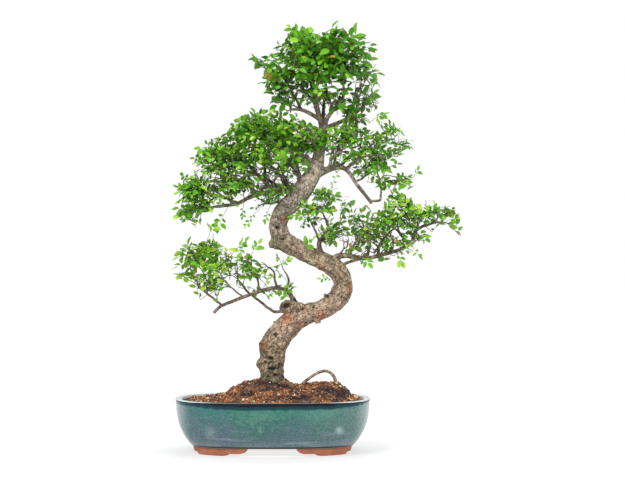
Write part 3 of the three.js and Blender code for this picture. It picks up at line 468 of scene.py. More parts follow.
def fractal(x, y, z, dimension, lacunarity, octaves):
    return noise.fractal(Vector((x, y, z)), dimension, lacunarity, octaves)


def distances_along(path):
    """How far each point of a path lies from its start, along it."""
    steps = np.linalg.norm(np.diff(path, axis=0), axis=1)
    return np.concatenate([[0], np.cumsum(steps)])


def ring_shell(rings, start, end):
    """One closed shell: rings of points joined in order, with a fan to a point at both ends."""
    rows, sides = len(rings), len(rings[0])
    points = np.vstack([np.reshape(rings, (-1, 3)), [start, end]])
    row_starts = np.arange(rows - 1)[:, None] * sides
    a = row_starts + np.arange(sides)
    b = row_starts + (np.arange(sides) + 1) % sides
    faces = np.stack([a, b, b + sides, a + sides], axis=-1).reshape(-1, 4).tolist()
    last = (rows - 1) * sides
    for i in range(sides):
        j = (i + 1) % sides
        faces += [[j, i, rows * sides], [last + i, last + j, rows * sides + 1]]
    volume = sum(np.dot(points[face[0]], np.cross(points[p], points[q]))
                 for face in faces for p, q in zip(face[1:], face[2:]))
    if volume < 0:
        faces = [face[::-1] for face in faces]
    return points, faces


def shade_smooth(mesh):
    mesh.polygons.foreach_set("use_smooth", [True] * len(mesh.polygons))


def merged(shells):
    """Several shells as one list of points and one of faces."""
    points, faces, offset = [], [], 0
    for shell_points, shell_faces in shells:
        points.append(shell_points)
        faces += [[i + offset for i in face] for face in shell_faces]
        offset += len(shell_points)
    return np.vstack(points), faces


def new_piece(name, points, faces=(), material=None, edges=()):
    """An object of the given mesh, in the frame's metres."""
    mesh = bpy.data.meshes.new(name)
    mesh.from_pydata([tuple(p) for p in points], list(edges), list(faces))
    shade_smooth(mesh)
    if material:
        mesh.materials.append(material)
    mesh.update()
    piece = bpy.data.objects.new(name, mesh)
    bpy.context.scene.collection.objects.link(piece)
    return piece


def shape_set(name, meshes):
    """Meshes that are set on points, in a collection of their own."""
    shapes = bpy.data.collections.new(name)
    for mesh in meshes:
        shapes.objects.link(bpy.data.objects.new(mesh.name, mesh))
    return shapes


def drop_shapes(shapes):
    """Remove the collection and its objects once they are set on their points."""
    for shape in list(shapes.objects):
        bpy.data.objects.remove(shape)
    bpy.data.collections.remove(shapes)


class NodeMaker:
    """A node tree being filled, with short ways to add its nodes."""

    def __init__(self, tree):
        self.tree = tree

    def add(self, kind, inputs=None, **properties):
        """A new node. Inputs are values, or sockets to link from."""
        node = self.tree.nodes.new(kind)
        for name, value in properties.items():
            setattr(node, name, value)
        for name, value in (inputs or {}).items():
            socket = node.inputs[name]
            if isinstance(value, bpy.types.NodeSocket):
                self.tree.links.new(value, socket)
            else:
                socket.default_value = value
        return node

    def node(self, kind, inputs=None, **properties):
        return self.add("ShaderNode" + kind, inputs, **properties)

    def math(self, operation, *values):
        return self.node("Math", dict(enumerate(values)), operation=operation).outputs[0]

    def vector(self, operation, *values):
        return self.node("VectorMath", dict(enumerate(values)), operation=operation).outputs

    def span(self, value, low, high, to_low=0.0, to_high=1.0, easing="LINEAR"):
        """The value's place between low and high, as a value from to_low to to_high."""
        limits = {"From Min": low, "From Max": high, "To Min": to_low, "To Max": to_high}
        return self.node("MapRange", {"Value": value, **limits}, interpolation_type=easing).outputs[0]


def store(mesh, name, values, kind="FLOAT", domain="POINT"):
    """Keep one value or vector for each point or face on the mesh."""
    attribute = mesh.attributes.new(name, kind, domain)
    field = {"FLOAT": "value", "INT": "value", "FLOAT_VECTOR": "vector", "FLOAT_COLOR": "color"}[kind]
    attribute.data.foreach_set(field, np.asarray(values).ravel())


def applied(piece):
    """The piece with its modifiers made part of its mesh."""
    graph = bpy.context.evaluated_depsgraph_get()
    graph.update()
    mesh = bpy.data.meshes.new_from_object(piece.evaluated_get(graph))
    piece.modifiers.clear()
    old = piece.data
    piece.data = mesh
    bpy.data.meshes.remove(old)
    mesh.name = piece.name
    return piece


class Shader(NodeMaker):
    """A material being made."""

    def __init__(self, name):
        self.material = bpy.data.materials.new(name)
        self.material.use_nodes = True
        super().__init__(self.material.node_tree)
        self.tree.nodes.clear()
        self.place = self.node("TexCoord").outputs["Object"]

    def blend(self, share, first, second):
        return self.node("Mix", {"Factor": share, "A": first, "B": second}, data_type="RGBA").outputs[2]

    def layers(self, colour, *coats):
        """The colour under coats of (share, screen colour), laid in order."""
        for share, coat in coats:
            colour = self.blend(share, colour, paint(*coat))
        return colour

    def noise(self, scale, detail, roughness=0.5, distortion=0.0, stretch=(1.0, 1.0, 1.0)):
        place = self.node("Mapping", {"Vector": self.place, "Scale": stretch}).outputs[0]
        return self.node("TexNoise", {
            "Vector": place, "Scale": scale, "Detail": detail, "Roughness": roughness,
            "Distortion": distortion}).outputs

    def cells(self, scale):
        """Distance from the middles of small cells, and three draws for each cell."""
        cells = self.node("TexVoronoi", {"Vector": self.place, "Scale": scale})
        return cells.outputs["Distance"], self.node("SeparateColor", {0: cells.outputs["Color"]}).outputs

    def ramp(self, value, first, *between_and_last):
        """The colour at a value, from stops of position and colour in order."""
        *between, last = between_and_last
        node = self.node("ValToRGB", {"Fac": value})
        stops = node.color_ramp.elements
        stops[0].position, stops[0].color = first
        stops[1].position, stops[1].color = last
        for position, colour in between:
            stops.new(position).color = colour
        return node.outputs[0]

    def attribute(self, name, output="Fac"):
        return self.node("Attribute", attribute_name=name).outputs[output]

    def surface(self, **inputs):
        """Set the material's surface, with _ for the blanks in the names of the inputs."""
        named = {name.replace("_", " "): value for name, value in inputs.items()}
        self.node("OutputMaterial", {"Surface": self.node("BsdfPrincipled", named).outputs[0]})
        return self.material

    def finish(self, colour, roughness, height, strength, distance, specular=0.5):
        bump = self.node("Bump", {"Height": height, "Strength": strength, "Distance": distance}).outputs[0]
        return self.surface(Base_Color=colour, Roughness=roughness, Normal=bump, Specular_IOR_Level=specular)


class Recipe(NodeMaker):
    """A geometry tree being made, with named inputs of (socket type, default) and a material."""

    def __init__(self, name, inputs):
        super().__init__(bpy.data.node_groups.new(name, "GeometryNodeTree"))
        sockets = self.tree.interface
        sockets.new_socket("Geometry", in_out="INPUT", socket_type="NodeSocketGeometry")
        for label, (kind, default) in {**inputs, "Material": ("Material", None)}.items():
            socket = sockets.new_socket(label, in_out="INPUT", socket_type="NodeSocket" + kind)
            if default is not None:
                socket.default_value = default
        sockets.new_socket("Geometry", in_out="OUTPUT", socket_type="NodeSocketGeometry")
        self.inputs = self.add("NodeGroupInput").outputs

    def shape(self, kind, inputs=None, **properties):
        return self.add("GeometryNode" + kind, inputs, **properties).outputs

    def place(self, x=0.0, y=0.0, z=0.0):
        return self.node("CombineXYZ", {"X": x, "Y": y, "Z": z}).outputs[0]

    def named(self, name, kind="FLOAT"):
        """An attribute of the points."""
        return self.shape("InputNamedAttribute", {"Name": name}, data_type=kind)["Attribute"]

    def draw(self, seed):
        """A random number from 0 to 1 for each point."""
        limits = {2: 0.0, 3: 1.0, "Seed": seed}
        return self.add("FunctionNodeRandomValue", limits, data_type="FLOAT").outputs[1]

    def laid(self, points, which, turn, size):
        """The shape of the given number from the set, turned and sized on each point."""
        shapes = self.shape("CollectionInfo", {
            "Collection": self.inputs["Shapes"], "Separate Children": True, "Reset Children": True})
        rotation = self.add("FunctionNodeEulerToRotation", {0: turn}).outputs[0]
        return self.shape("InstanceOnPoints", {
            "Points": points, "Instance": shapes[0], "Pick Instance": True, "Instance Index": which,
            "Rotation": rotation, "Scale": size})[0]

    def finish(self, geometry):
        real = self.shape("RealizeInstances", {"Geometry": geometry})[0]
        made = self.shape("SetMaterial", {"Geometry": real, "Material": self.inputs["Material"]})[0]
        self.add("NodeGroupOutput", {0: made})
        return self.tree


def run_tree(piece, tree, values):
    """Put a geometry tree on the piece with the given input values, and apply it."""
    modifier = piece.modifiers.new(tree.name, "NODES")
    modifier.node_group = tree
    for item in tree.interface.items_tree:
        if item.item_type == "SOCKET" and item.in_out == "INPUT" and item.name in values:
            modifier[item.identifier] = values[item.name]
    return applied(piece)


def finish_piece(piece, nodes):
    """The piece rides on the one body and stands for the given nodes, which are hidden."""
    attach(piece, "root")
    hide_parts(*nodes)


def nodes_named(prefix):
    return [name for name in frame["nodes"] if name.startswith(prefix)]


def smooth_run(points, step):
    """Points and diameters about every step along a centripetal curve through the given ones."""
    p = np.array(points, float)
    ends = np.vstack([2 * p[0] - p[1], p, 2 * p[-1] - p[-2]])
    ends[0, 3], ends[-1, 3] = p[0, 3], p[-1, 3]
    parts = []
    for p0, p1, p2, p3 in zip(ends, ends[1:], ends[2:], ends[3:]):
        d0, d1, d2 = (max(np.linalg.norm((b - a)[:3]), 1e-3) ** 0.5
                      for a, b in ((p0, p1), (p1, p2), (p2, p3)))
        out = ((p1 - p0) / d0 - (p2 - p0) / (d0 + d1) + (p2 - p1) / d1) * d1
        into = ((p2 - p1) / d1 - (p3 - p1) / (d1 + d2) + (p3 - p2) / d2) * d1
        out[3] = into[3] = p2[3] - p1[3]
        t = np.linspace(0, 1, max(int(d1 * d1 / step), 1), endpoint=False)[:, None]
        parts.append((2 * t**3 - 3 * t**2 + 1) * p1 + (t**3 - 2 * t**2 + t) * out
                     + (3 * t**2 - 2 * t**3) * p2 + (t**3 - t**2) * into)
    return np.vstack(parts + [p[-1:]])


def frames_along(path):
    """Tangents, and two vectors across them that turn as little as they can."""
    tangents = unit(np.gradient(path, axis=0))
    across = np.zeros_like(tangents)
    start = np.array([0.0, 1.0, 0.0]) if abs(tangents[0][1]) < 0.8 else np.array([1.0, 0.0, 0.0])
    across[0] = unit(start - tangents[0] * start.dot(tangents[0]))
    for i in range(1, len(path)):
        kept = across[i - 1] - tangents[i] * across[i - 1].dot(tangents[i])
        across[i] = unit(kept)
    return tangents, across, np.cross(tangents, across)


def tube_shell(run, sides, shape=None, end_share=1.0):
    """A closed tube along points and diameters, with rounded ends."""
    path = run[:, :3]
    tangents, across, other = frames_along(path)
    along = np.linspace(0, 1, len(run))
    radius = run[:, 3] / 2
    taper = np.clip((1 - along) * len(run) / 6, 0, 1)
    radius = radius * (end_share + (1 - end_share) * taper)
    angles = np.arange(sides) / sides * 2 * math.pi
    scale = radius[:, None] * (shape(angles[None, :], along[:, None]) if shape else 1.0)
    way = (np.cos(angles)[None, :, None] * across[:, None]
           + np.sin(angles)[None, :, None] * other[:, None])
    rings = path[:, None] + scale[..., None] * way
    start = path[0] - tangents[0] * radius[0] * 0.3
    end = path[-1] + tangents[-1] * radius[-1] * 0.5
    return ring_shell(rings, start, end)


def ball_shell(x, y, z, rx, ry, rz, sides=24, rows=14):
    """A closed ball with its own radius each way."""
    levels = np.linspace(0, math.pi, rows + 2)[1:-1]
    angles = np.arange(sides) / sides * 2 * math.pi
    rings = np.stack([
        x + rx * np.sin(levels)[:, None] * np.cos(angles)[None, :],
        y + ry * np.sin(levels)[:, None] * np.sin(angles)[None, :],
        z + rz * np.cos(levels)[:, None] * np.ones(sides)[None, :],
    ], axis=-1)
    return ring_shell(rings, (x, y, z + rz), (x, y, z - rz))


# --- Pot ----------------------------------------------------------------------------------------


def plan_points(half_length, half_depth, angles):
    """Places on the pot's oval plan."""
    c, s = np.cos(angles), np.sin(angles)
    power = 2 / PLAN_POWER
    return half_length * np.sign(c) * np.abs(c) ** power, half_depth * np.sign(s) * np.abs(s) ** power


def belly_at(height):
    """Half the length of the bowl's outside at a height."""
    share = (height - BASE_HEIGHT) / (NECK_HEIGHT - BASE_HEIGHT)
    return BASE_HALF_LENGTH + (NECK_HALF_LENGTH - BASE_HALF_LENGTH) * (1 - (1 - share) ** BELLY_POWER)


def inside_at(height):
    """Half the length of the bowl's inside at a height."""
    return belly_at(min(height, NECK_HEIGHT)) - WALL


def oval_ring(half_length, half_depth, height, sides):
    """A ring of the oval plan at a height."""
    angles = (np.arange(sides) + 0.5) / sides * 2 * math.pi
    x, y = plan_points(half_length, half_depth, angles)
    return np.stack([x, y, np.full(sides, height)], axis=-1)


def bowl_shell(sides=224):
    """The bowl, from the middle of its underside round the lip to the middle of its floor."""
    rows = [*BOWL_UNDERSIDE]
    rows += [(belly_at(taken) - inset, h) for taken, inset, h in BASE_ROUNDING]
    rows += [(belly_at(h), h) for h in OUTSIDE_HEIGHTS]
    rows += LIP_PROFILE
    rows += [(inside_at(h), h) for h in INSIDE_HEIGHTS]
    rows += [(inside_at(taken) - inset, h) for taken, inset, h in FLOOR_ROUNDING]
    rows += BOWL_FLOOR
    rings = [oval_ring(half, max(half - DEPTH_INSET, half * 0.6), height, sides) for half, height in rows]
    return ring_shell(rings, (0, 0, BASE_HEIGHT), (0, 0, FLOOR_HEIGHT))


def foot_underside(distance, ends):
    """Height of a foot's underside at a distance from the pot's middle along one of its runs."""
    top, upper, lower, ground = ends

    def ease(low, high):
        t = np.clip((distance - low) / (high - low), 0, 1)
        return t * t * (3 - 2 * t)

    high_part = BASE_HEIGHT - (BASE_HEIGHT - FOOT_STEP_HEIGHT) * np.sqrt(ease(top, upper + 3))
    return high_part - FOOT_STEP_HEIGHT * ease(lower, ground)


def foot_shell(sign_x, sign_y, steps=80):
    """A corner foot that follows the oval, with a low step and a longer upper step."""
    outer_mid = BASE_HALF_LENGTH - FOOT_INSET
    start = math.acos((FOOT_FRONT[0] / outer_mid) ** (PLAN_POWER / 2))
    end = math.asin((FOOT_SIDE[0] / (outer_mid - DEPTH_INSET)) ** (PLAN_POWER / 2))
    top = BASE_HEIGHT + FOOT_SINK
    rings = []
    for angle in np.linspace(start, end, steps):
        x, y = plan_points(outer_mid, outer_mid - DEPTH_INSET, angle)
        low = max(foot_underside(x, FOOT_FRONT), foot_underside(y, FOOT_SIDE))
        low = min(low, BASE_HEIGHT - 0.1)
        soft = min(1.6, (top - low) * 0.4)
        outside = [(0.0, top), (0.0, low + 0.6 * (top - low)), (0.0, low + soft),
                   (0.3 * soft, low + 0.3 * soft), (soft, low)]
        inside = [(FOOT_WIDTH - inset, height) for inset, height in outside[::-1]]
        ring = []
        for inset, height in outside + inside:
            lean = FOOT_SETBACK + FOOT_LEAN * (1 - height / BASE_HEIGHT)
            half = BASE_HALF_LENGTH - lean - inset
            px, py = plan_points(half, half - DEPTH_INSET, angle)
            ring.append((sign_x * px, sign_y * py, height))
        rings.append(ring)
    rings = np.array(rings)
    return ring_shell(rings, rings[0].mean(axis=0), rings[-1].mean(axis=0))


def glaze_material():
    """Mottled teal glaze: greyer blue low down, a deep band under the lip, specks and runs, with painted
    reflections and a painted shade line round the base.
    """
    colours = settings().pot
    made = Shader("teal_glaze")
    math_node, span, blend = made.math, made.span, made.blend
    x, y, height = made.node("SeparateXYZ", {0: made.place}).outputs
    clouds = made.noise(15.0, 6.0, 0.66, 0.4)["Fac"]
    mottle = made.noise(170.0, 7.0, 0.78, 0.3)["Fac"]
    slow = made.noise(11.0, 2.0)["Fac"]
    runs = made.noise(70.0, 5.0, stretch=(0.16, 0.16, 1.0))["Fac"]
    drips = made.noise(90.0, 4.0, stretch=(1.0, 1.0, 0.2))["Fac"]
    # greyer blue towards the left end and low down, green in the upper middle, paler on the right; the greyer
    # blue low at the left and the paler right are glaze colour with a painted reflection in them
    tone = math_node("MULTIPLY_ADD", clouds, 1.5, span(height, 0.016, 0.085, 0.0, 0.42))
    tone = math_node("ADD", tone, span(x, -0.28, -0.06, 0.0, 0.2))
    tone = math_node("MULTIPLY_ADD", mottle, 0.5, tone)
    colour = made.ramp(span(tone, 0.86, 1.76), (0.0, (*colours.glaze_blue, 1)), (0.26, paint(84, 106, 116)),
                       (0.5, paint(74, 106, 108)), (0.74, paint(60, 106, 98)),
                       (1.0, (*colours.glaze_green, 1)))
    pale_runs = math_node("MULTIPLY", span(runs, 0.56, 0.7), span(height, 0.075, 0.035, 0.0, 0.6))
    foot_grey = math_node("MULTIPLY", span(height, 0.032, 0.018, 0.0, 0.7), span(clouds, 0.42, 0.56))
    colour = made.layers(
        colour,
        # paler to the right and greyer low down: painted reflection over the glaze colour
        (span(x, -0.04, 0.09, 0.0, 0.5), (112, 134, 134)),
        (span(height, 0.05, 0.024, 0.0, 0.3), (122, 134, 142)),
        (span(mottle, 0.56, 0.72, 0.0, 0.6), (146, 172, 168)),
        (span(mottle, 0.45, 0.3, 0.0, 0.75), (24, 56, 62)),
        (pale_runs, (146, 164, 172)),
        (foot_grey, (138, 148, 156)))
    flat = made.vector("MULTIPLY_ADD", made.noise(60.0, 3.0)["Color"], (0.012, 0.0, 0.012), made.place)[0]
    flat = made.vector("MULTIPLY", flat, (1.0, 0.0, 1.0))[0]
    # each is a painted reflection, a soft pale patch laid on the glaze
    for reflection_x, reflection_z, reach, share in GLAZE_REFLECTIONS:
        # the noise pushes places on by half its strength, 6 mm, so the mark's middle goes with them
        middle = ((reflection_x + POT_X + 6) * MM, 0.0, (reflection_z + 6) * MM)
        away = made.vector("DISTANCE", flat, middle)["Value"]
        mark = span(away, reach * MM, 0.2 * reach * MM, 0.0, share)
        colour = made.layers(colour, (mark, (178, 200, 198)))
    length = math_node("ABSOLUTE", math_node("SUBTRACT", x, POT_X * MM))
    # the deep band, edged with brighter teal where the glaze runs down from it
    edge = math_node("MULTIPLY_ADD", drips, 0.005, math_node("SUBTRACT", height, 0.0075))
    edge = math_node("MULTIPLY_ADD", mottle, 0.004, edge)
    edge = math_node("MULTIPLY_ADD", slow, 0.006, edge)
    edge = math_node("SUBTRACT", edge, span(length, 0.11, 0.19, 0.0, 0.0062))
    bright = math_node("MULTIPLY", span(edge, 0.072, 0.092), span(length, 0.19, 0.12, 0.0, 0.3))
    colour = made.layers(
        colour,
        # paler towards both ends: a painted reflection where the glaze turns away from view
        (span(length, 0.166, 0.199, 0.0, 0.62), (172, 188, 192)),
        (bright, (30, 118, 106)),
        (span(edge, 0.0945, 0.0995, 0.0, 1.0, "SMOOTHSTEP"), (0, 54, 66)))
    colour = blend(span(edge, 0.1015, 0.1055, 0.0, 1.0, "SMOOTHSTEP"), colour, (*colours.band, 1))
    # dark and pale specks
    away, draws = made.cells(430.0)
    speck = span(away, 0.42, 0.22)
    dark = math_node("MULTIPLY", math_node("GREATER_THAN", draws[0], 0.5), speck)
    pale = math_node("MULTIPLY", math_node("GREATER_THAN", draws[1], 0.82), speck)
    colour = made.layers(
        colour,
        (math_node("MULTIPLY", dark, 0.85), (14, 40, 48)),
        (math_node("MULTIPLY", pale, span(height, 0.095, 0.08, 0.0, 0.35)), (160, 188, 184)))
    # pale over the flat of the lip, thin glaze with a painted reflection on it, kept faint along the front,
    # and pale on the inside below it
    lip = math_node("MULTIPLY", span(height, 0.1091, 0.1094), span(y, -0.13, -0.108, 0.12, 1.0))
    reach = [math_node("POWER", math_node("DIVIDE", across, half), PLAN_POWER)
             for across, half in ((length, 0.198), (math_node("ABSOLUTE", y), 0.138))]
    inside = math_node("MULTIPLY", span(math_node("ADD", *reach), 0.93, 0.88),
                       span(height, 0.1, 0.105, 0.0, 0.7))
    colour = blend(math_node("MAXIMUM", lip, inside), colour, (*colours.lip, 1))
    # a painted shade line round the base where the belly turns under, bare underneath
    bare = span(height, 0.0164, 0.0158)
    colour = made.layers(colour, (span(height, 0.0206, 0.0184), (20, 28, 34)), (bare, (150, 140, 130)))
    rough = made.node("Mix", {"Factor": bare, "A": span(mottle, 0.3, 0.7, 0.1, 0.3), "B": 0.85}).outputs[0]
    relief = math_node("MULTIPLY_ADD", clouds, 2.0, mottle)
    return made.finish(colour, rough, relief, strength=0.3, distance=0.0006, specular=0.22)


def clay_material():
    """Bare red clay, a little uneven, with fine grit."""
    made = Shader("bare_clay")
    base = settings().pot.clay
    tone = made.math("MULTIPLY_ADD", made.noise(900.0, 3.0)["Fac"], 0.4, made.noise(60.0, 6.0, 0.6)["Fac"])
    dark, light = ((*(min(c * share, 1) for c, share in zip(base, shares)), 1)
                   for shares in ((0.72, 0.68, 0.66), (1.16, 1.16, 1.2)))
    colour = made.ramp(tone, (0.45, dark), (0.95, light))
    return made.finish(colour, 0.82, tone, strength=0.35, distance=0.0004)


class BONSAI_OT_pot(bpy.types.Operator):
    """Make the glazed bowl with its drain holes, and its corner feet"""

    bl_idname = "bonsai.pot"
    bl_label = "Pot"

    def execute(self, context):
        points, faces = bowl_shell()
        bowl = new_piece("pot_bowl", to_frame(points), faces, glaze_material())
        for x in (-HOLE_X, HOLE_X):
            points, faces = tube_shell(np.array([(x, 0, z, 2 * HOLE_RADIUS) for z in HOLE_CUT_HEIGHTS]), 48)
            cutter = new_piece("hole_cutter", to_frame(points), faces)
            cut = bowl.modifiers.new("hole", "BOOLEAN")
            cut.operation = "DIFFERENCE"
            cut.solver = "EXACT"
            cut.object = cutter
            applied(bowl)
            bpy.data.objects.remove(cutter)
        points, faces = merged([foot_shell(sx, sy) for sx in (1, -1) for sy in (1, -1)])
        feet = new_piece("pot_feet", to_frame(points), faces, clay_material())
        finish_piece(bowl, ["pot"])
        finish_piece(feet, ["pot"])
        return {"FINISHED"}


def screen_tree():
    """Two layers of crossing bars, laid at an even pitch."""
    made = Recipe("drain_screen", {
        "Size": ("Float", 0.044), "Bars": ("Int", 17), "Bar Width": ("Float", 0.001),
        "Layer": ("Float", 0.0006)})
    size, bars, width, layer = (made.inputs[name] for name in ("Size", "Bars", "Bar Width", "Layer"))
    first = made.math("MULTIPLY_ADD", width, 0.5, made.math("MULTIPLY", size, -0.5))
    pitch = made.math("DIVIDE", made.math("SUBTRACT", size, width), made.math("SUBTRACT", bars, 1.0))
    bar = made.shape("MeshCube", {"Size": made.place(width, size, layer)})["Mesh"]
    line = made.shape("MeshLine", {
        "Count": bars, "Start Location": made.place(first), "Offset": made.place(pitch)})[0]
    lower = made.shape("InstanceOnPoints", {"Points": line, "Instance": bar})[0]
    upper = made.shape("Transform", {
        "Geometry": lower, "Translation": made.place(z=made.math("MULTIPLY", layer, 0.85)),
        "Rotation": (0.0, 0.0, math.pi / 2)})[0]
    joined = made.add("GeometryNodeJoinGeometry")
    for half in (lower, upper):
        made.tree.links.new(half, joined.inputs[0])
    return made.finish(joined.outputs[0])


def plastic_material():
    """Black plastic, dusty with soil."""
    made = Shader("screen_plastic")
    dust = made.noise(260.0, 5.0)["Fac"]
    colour = made.layers(paint(20, 20, 21), (dust, (62, 54, 46)))
    return made.finish(colour, 0.62, dust, strength=0.2, distance=0.0002)


class BONSAI_OT_screens(bpy.types.Operator):
    """Make the plastic mesh screens over the drain holes"""

    bl_idname = "bonsai.screens"
    bl_label = "Drain screens"

    def execute(self, context):
        tree, material = screen_tree(), plastic_material()
        for name, x in (("left", -HOLE_X), ("right", HOLE_X)):
            screen = new_piece(f"screen_{name}", [(0, 0, 0)])
            run_tree(screen, tree, {"Bars": settings().pot.screen_bars, "Material": material})
            middle = ((x + POT_X) * MM, 0.0, (FLOOR_HEIGHT + SCREEN_LIFT) * MM)
            screen.data.transform(Matrix.Translation(middle))
            finish_piece(screen, [f"drain_screen_{name}"])
        return {"FINISHED"}


# --- Soil ---------------------------------------------------------------------------------------


def soil_height(x, y):
    """Height of the mound at a place in plan, as in the solid, and how much of its slope is there."""
    edges, heights = np.array(SOIL_RIDGE, float).T
    i = np.clip(np.searchsorted(edges, x, side="right") - 1, 0, len(edges) - 2)
    t = np.clip((x - edges[i]) / (edges[i + 1] - edges[i]), 0, 1)
    ridge = heights[i] + (heights[i + 1] - heights[i]) * t * t * (3 - 2 * t)
    half_length = inside_at(SOIL_EDGE_HEIGHT)
    reach = np.minimum(np.abs(x) / half_length, 1)
    half_depth = (half_length - DEPTH_INSET) * (1 - reach**PLAN_POWER) ** (1 / PLAN_POWER)
    across = np.where(half_depth > 1, np.minimum(np.abs(y) / np.maximum(half_depth, 1), 1), 1.0)
    clods = np.sin(x * 0.21 + y * 0.13) + np.sin(y * 0.24 - x * 0.11)
    slope = (1 - across**2) ** SOIL_ROUNDING
    return SOIL_EDGE_HEIGHT + (ridge - SOIL_EDGE_HEIGHT) * slope + CLOD_HEIGHT * clods * slope, slope


def mound_shell(sides=260, rings=86):
    """The mound down to the pot's floor, and for each point whether granules may lie there."""
    edge = inside_at(SOIL_EDGE_HEIGHT) - SOIL_GAP
    rows, top = [], []
    for share in np.linspace(0.02, 1, rings):
        ring = oval_ring(share * edge, share * (edge - DEPTH_INSET), 0.0, sides)
        z, slope = soil_height(ring[:, 0], ring[:, 1])
        lumps = np.array([
            2.0 * fractal(x * 0.05, y * 0.05, 3.0, 0.7, 2.0, 3)
            + 0.9 * fractal(x * 0.19, y * 0.19, 7.0, 0.5, 2.1, 4)
            for x, y in ring[:, :2]])
        keep = np.clip((1 - share) / 0.05, 0, 1) * np.clip(slope * 4 + 0.35, 0, 1)
        ring[:, 2] = z + lumps * keep
        rows.append(ring)
        top += [1.0 if share < STREWN_SHARE else 0.0] * sides
    walls = [(inside_at(height) - SOIL_GAP, height) for height in SOIL_WALLS]
    walls.append((inside_at(FLOOR_HEIGHT) - SOIL_BOTTOM_GAP, SOIL_BOTTOM))
    rows += [oval_ring(half, half - DEPTH_INSET, height, sides) for half, height in walls]
    top += [0.0] * sides * len(walls)
    points, faces = ring_shell(rows, (0, 0, float(rows[0][:, 2].mean())), (0, 0, SOIL_BOTTOM))
    return points, faces, top + [1.0, 0.0]


def soil_material(name, by_grain):
    """Moist clay granules: orange brown, with darker and purple clods and pale bits."""
    colours = settings().soil
    made = Shader(name)
    zones, clods = made.noise(26.0, 5.0, 0.65), made.noise(62.0, 4.0, 0.6)["Fac"]
    grit = made.noise(520.0, 4.0, 0.7)["Fac"]
    tint = made.attribute("tint") if by_grain else made.span(grit, 0.36, 0.62, 0.0, 0.7)
    grain = made.ramp(tint, (0.0, (*colours.dark, 1)), (0.22, paint(94, 60, 44)), (0.5, (*colours.brown, 1)),
                      (0.8, paint(196, 140, 92)), (1.0, paint(226, 178, 126)))
    # darker clods in the given places, and here and there
    wavy = made.vector("MULTIPLY_ADD", zones["Color"], (SOIL_WAVE,) * 3, made.place)[0]
    mixed = made.math("MULTIPLY_ADD", clods, 0.5, zones["Fac"])
    shadowed = made.span(mixed, 0.74, 0.64, 0.0, 0.8)
    for x, y, z, reach in DARK_SOIL:
        # the noises push places and distances on by half their strength
        middle = tuple(c * MM + SOIL_WAVE / 2 for c in (x + POT_X, y, z))
        away = made.vector("DISTANCE", wavy, middle)["Value"]
        away = made.math("MULTIPLY_ADD", clods, 0.03, away)
        near = made.span(away, reach * MM + 0.015, 0.55 * reach * MM + 0.015)
        shadowed = made.math("MAXIMUM", near, shadowed)
    broken = made.span(made.noise(150.0, 4.0, 0.7)["Fac"], 0.66, 0.54, 0.2, 1.0)
    shadowed = made.math("MULTIPLY", shadowed, broken)
    darker = made.vector("MULTIPLY_ADD", grain, (0.17, 0.17, 0.27), paint(36, 30, 34)[:3])[0]
    colour = made.blend(shadowed, grain, darker)
    colour = made.layers(colour, (made.span(tint, 0.945, 0.955), (228, 212, 182)))
    shade = made.math("MULTIPLY", made.span(grit, 0.3, 0.7, 0.36, 1.4),
                      made.span(clods, 0.38, 0.6, 0.4, 1.32))
    shaded = made.vector("MULTIPLY", colour, shade)[0]
    return made.finish(shaded, 0.93, grit, strength=0.7, distance=0.0009)


def stone_meshes(rng):
    """Three rough granules of unit size, each a knocked about icosahedron."""
    golden = (1 + 5**0.5) / 2
    corners = unit([(a, b * golden, 0) for a in (-1, 1) for b in (-1, 1)]
                   + [(0, a, b * golden) for a in (-1, 1) for b in (-1, 1)]
                   + [(b * golden, 0, a) for a in (-1, 1) for b in (-1, 1)])
    faces = []
    for i, j, k in itertools.combinations(range(12), 3):
        p, q, r = corners[[i, j, k]]
        if max(np.linalg.norm(p - q), np.linalg.norm(q - r), np.linalg.norm(r - p)) < 1.1:
            faces.append((i, j, k) if np.dot(np.cross(q - p, r - p), p) > 0 else (i, k, j))
    meshes = []
    for number in range(3):
        rough = corners * rng.uniform(0.72, 1.2, (12, 1)) * rng.uniform(0.75, 1.15, (1, 3)) * 0.5
        mesh = bpy.data.meshes.new(f"granule_{number}")
        mesh.from_pydata([tuple(p) for p in rough], [], faces)
        meshes.append(mesh)
    return meshes


def scatter_tree():
    """Granules strewn over the faces that carry the attribute top."""
    made = Recipe("strewn_granules", {
        "Shapes": ("Collection", None), "Per Square Metre": ("Float", 90000.0),
        "Smallest": ("Float", 0.0016), "Largest": ("Float", 0.005), "Seed": ("Int", 5)})
    inputs = made.inputs
    points = made.shape("DistributePointsOnFaces", {
        "Mesh": inputs["Geometry"], "Selection": made.math("GREATER_THAN", made.named("top"), 0.9),
        "Density": inputs["Per Square Metre"], "Seed": inputs["Seed"]})["Points"]
    turn = made.add("FunctionNodeRandomValue", {"Max": (6.283,) * 3, "Seed": inputs["Seed"]},
                    data_type="FLOAT_VECTOR").outputs[0]
    size = made.math("POWER", made.draw(77), 2.4)
    size = made.span(size, 0.0, 1.0, inputs["Smallest"], inputs["Largest"])
    pick = made.add("FunctionNodeRandomValue", {4: 0, 5: 2, "Seed": 31}, data_type="INT").outputs[2]
    laid = made.laid(points, pick, turn, size)
    tinted = made.shape("StoreNamedAttribute", {"Geometry": laid, "Name": "tint", "Value": made.draw(53)},
                        data_type="FLOAT", domain="INSTANCE")[0]
    return made.finish(tinted)


def surface_root_runs(points, faces):
    """The surface roots' lines, laid on the mound, with their ends sunk in it."""
    surface = BVHTree.FromPolygons([tuple(p) for p in points], faces)
    runs = []
    for line in SURFACE_ROOTS:
        run = []
        for number, (x, y, diameter) in enumerate(line):
            ground = surface.ray_cast(Vector((x, y, 300)), Vector((0, 0, -1)))[0].z
            sunk = ROOT_END_SUNK if number in (0, len(line) - 1) else 0
            run.append((x, y, ground + ROOT_LIFT * diameter - sunk, diameter))
        runs.append(smooth_run(run, 1.5))
    return runs


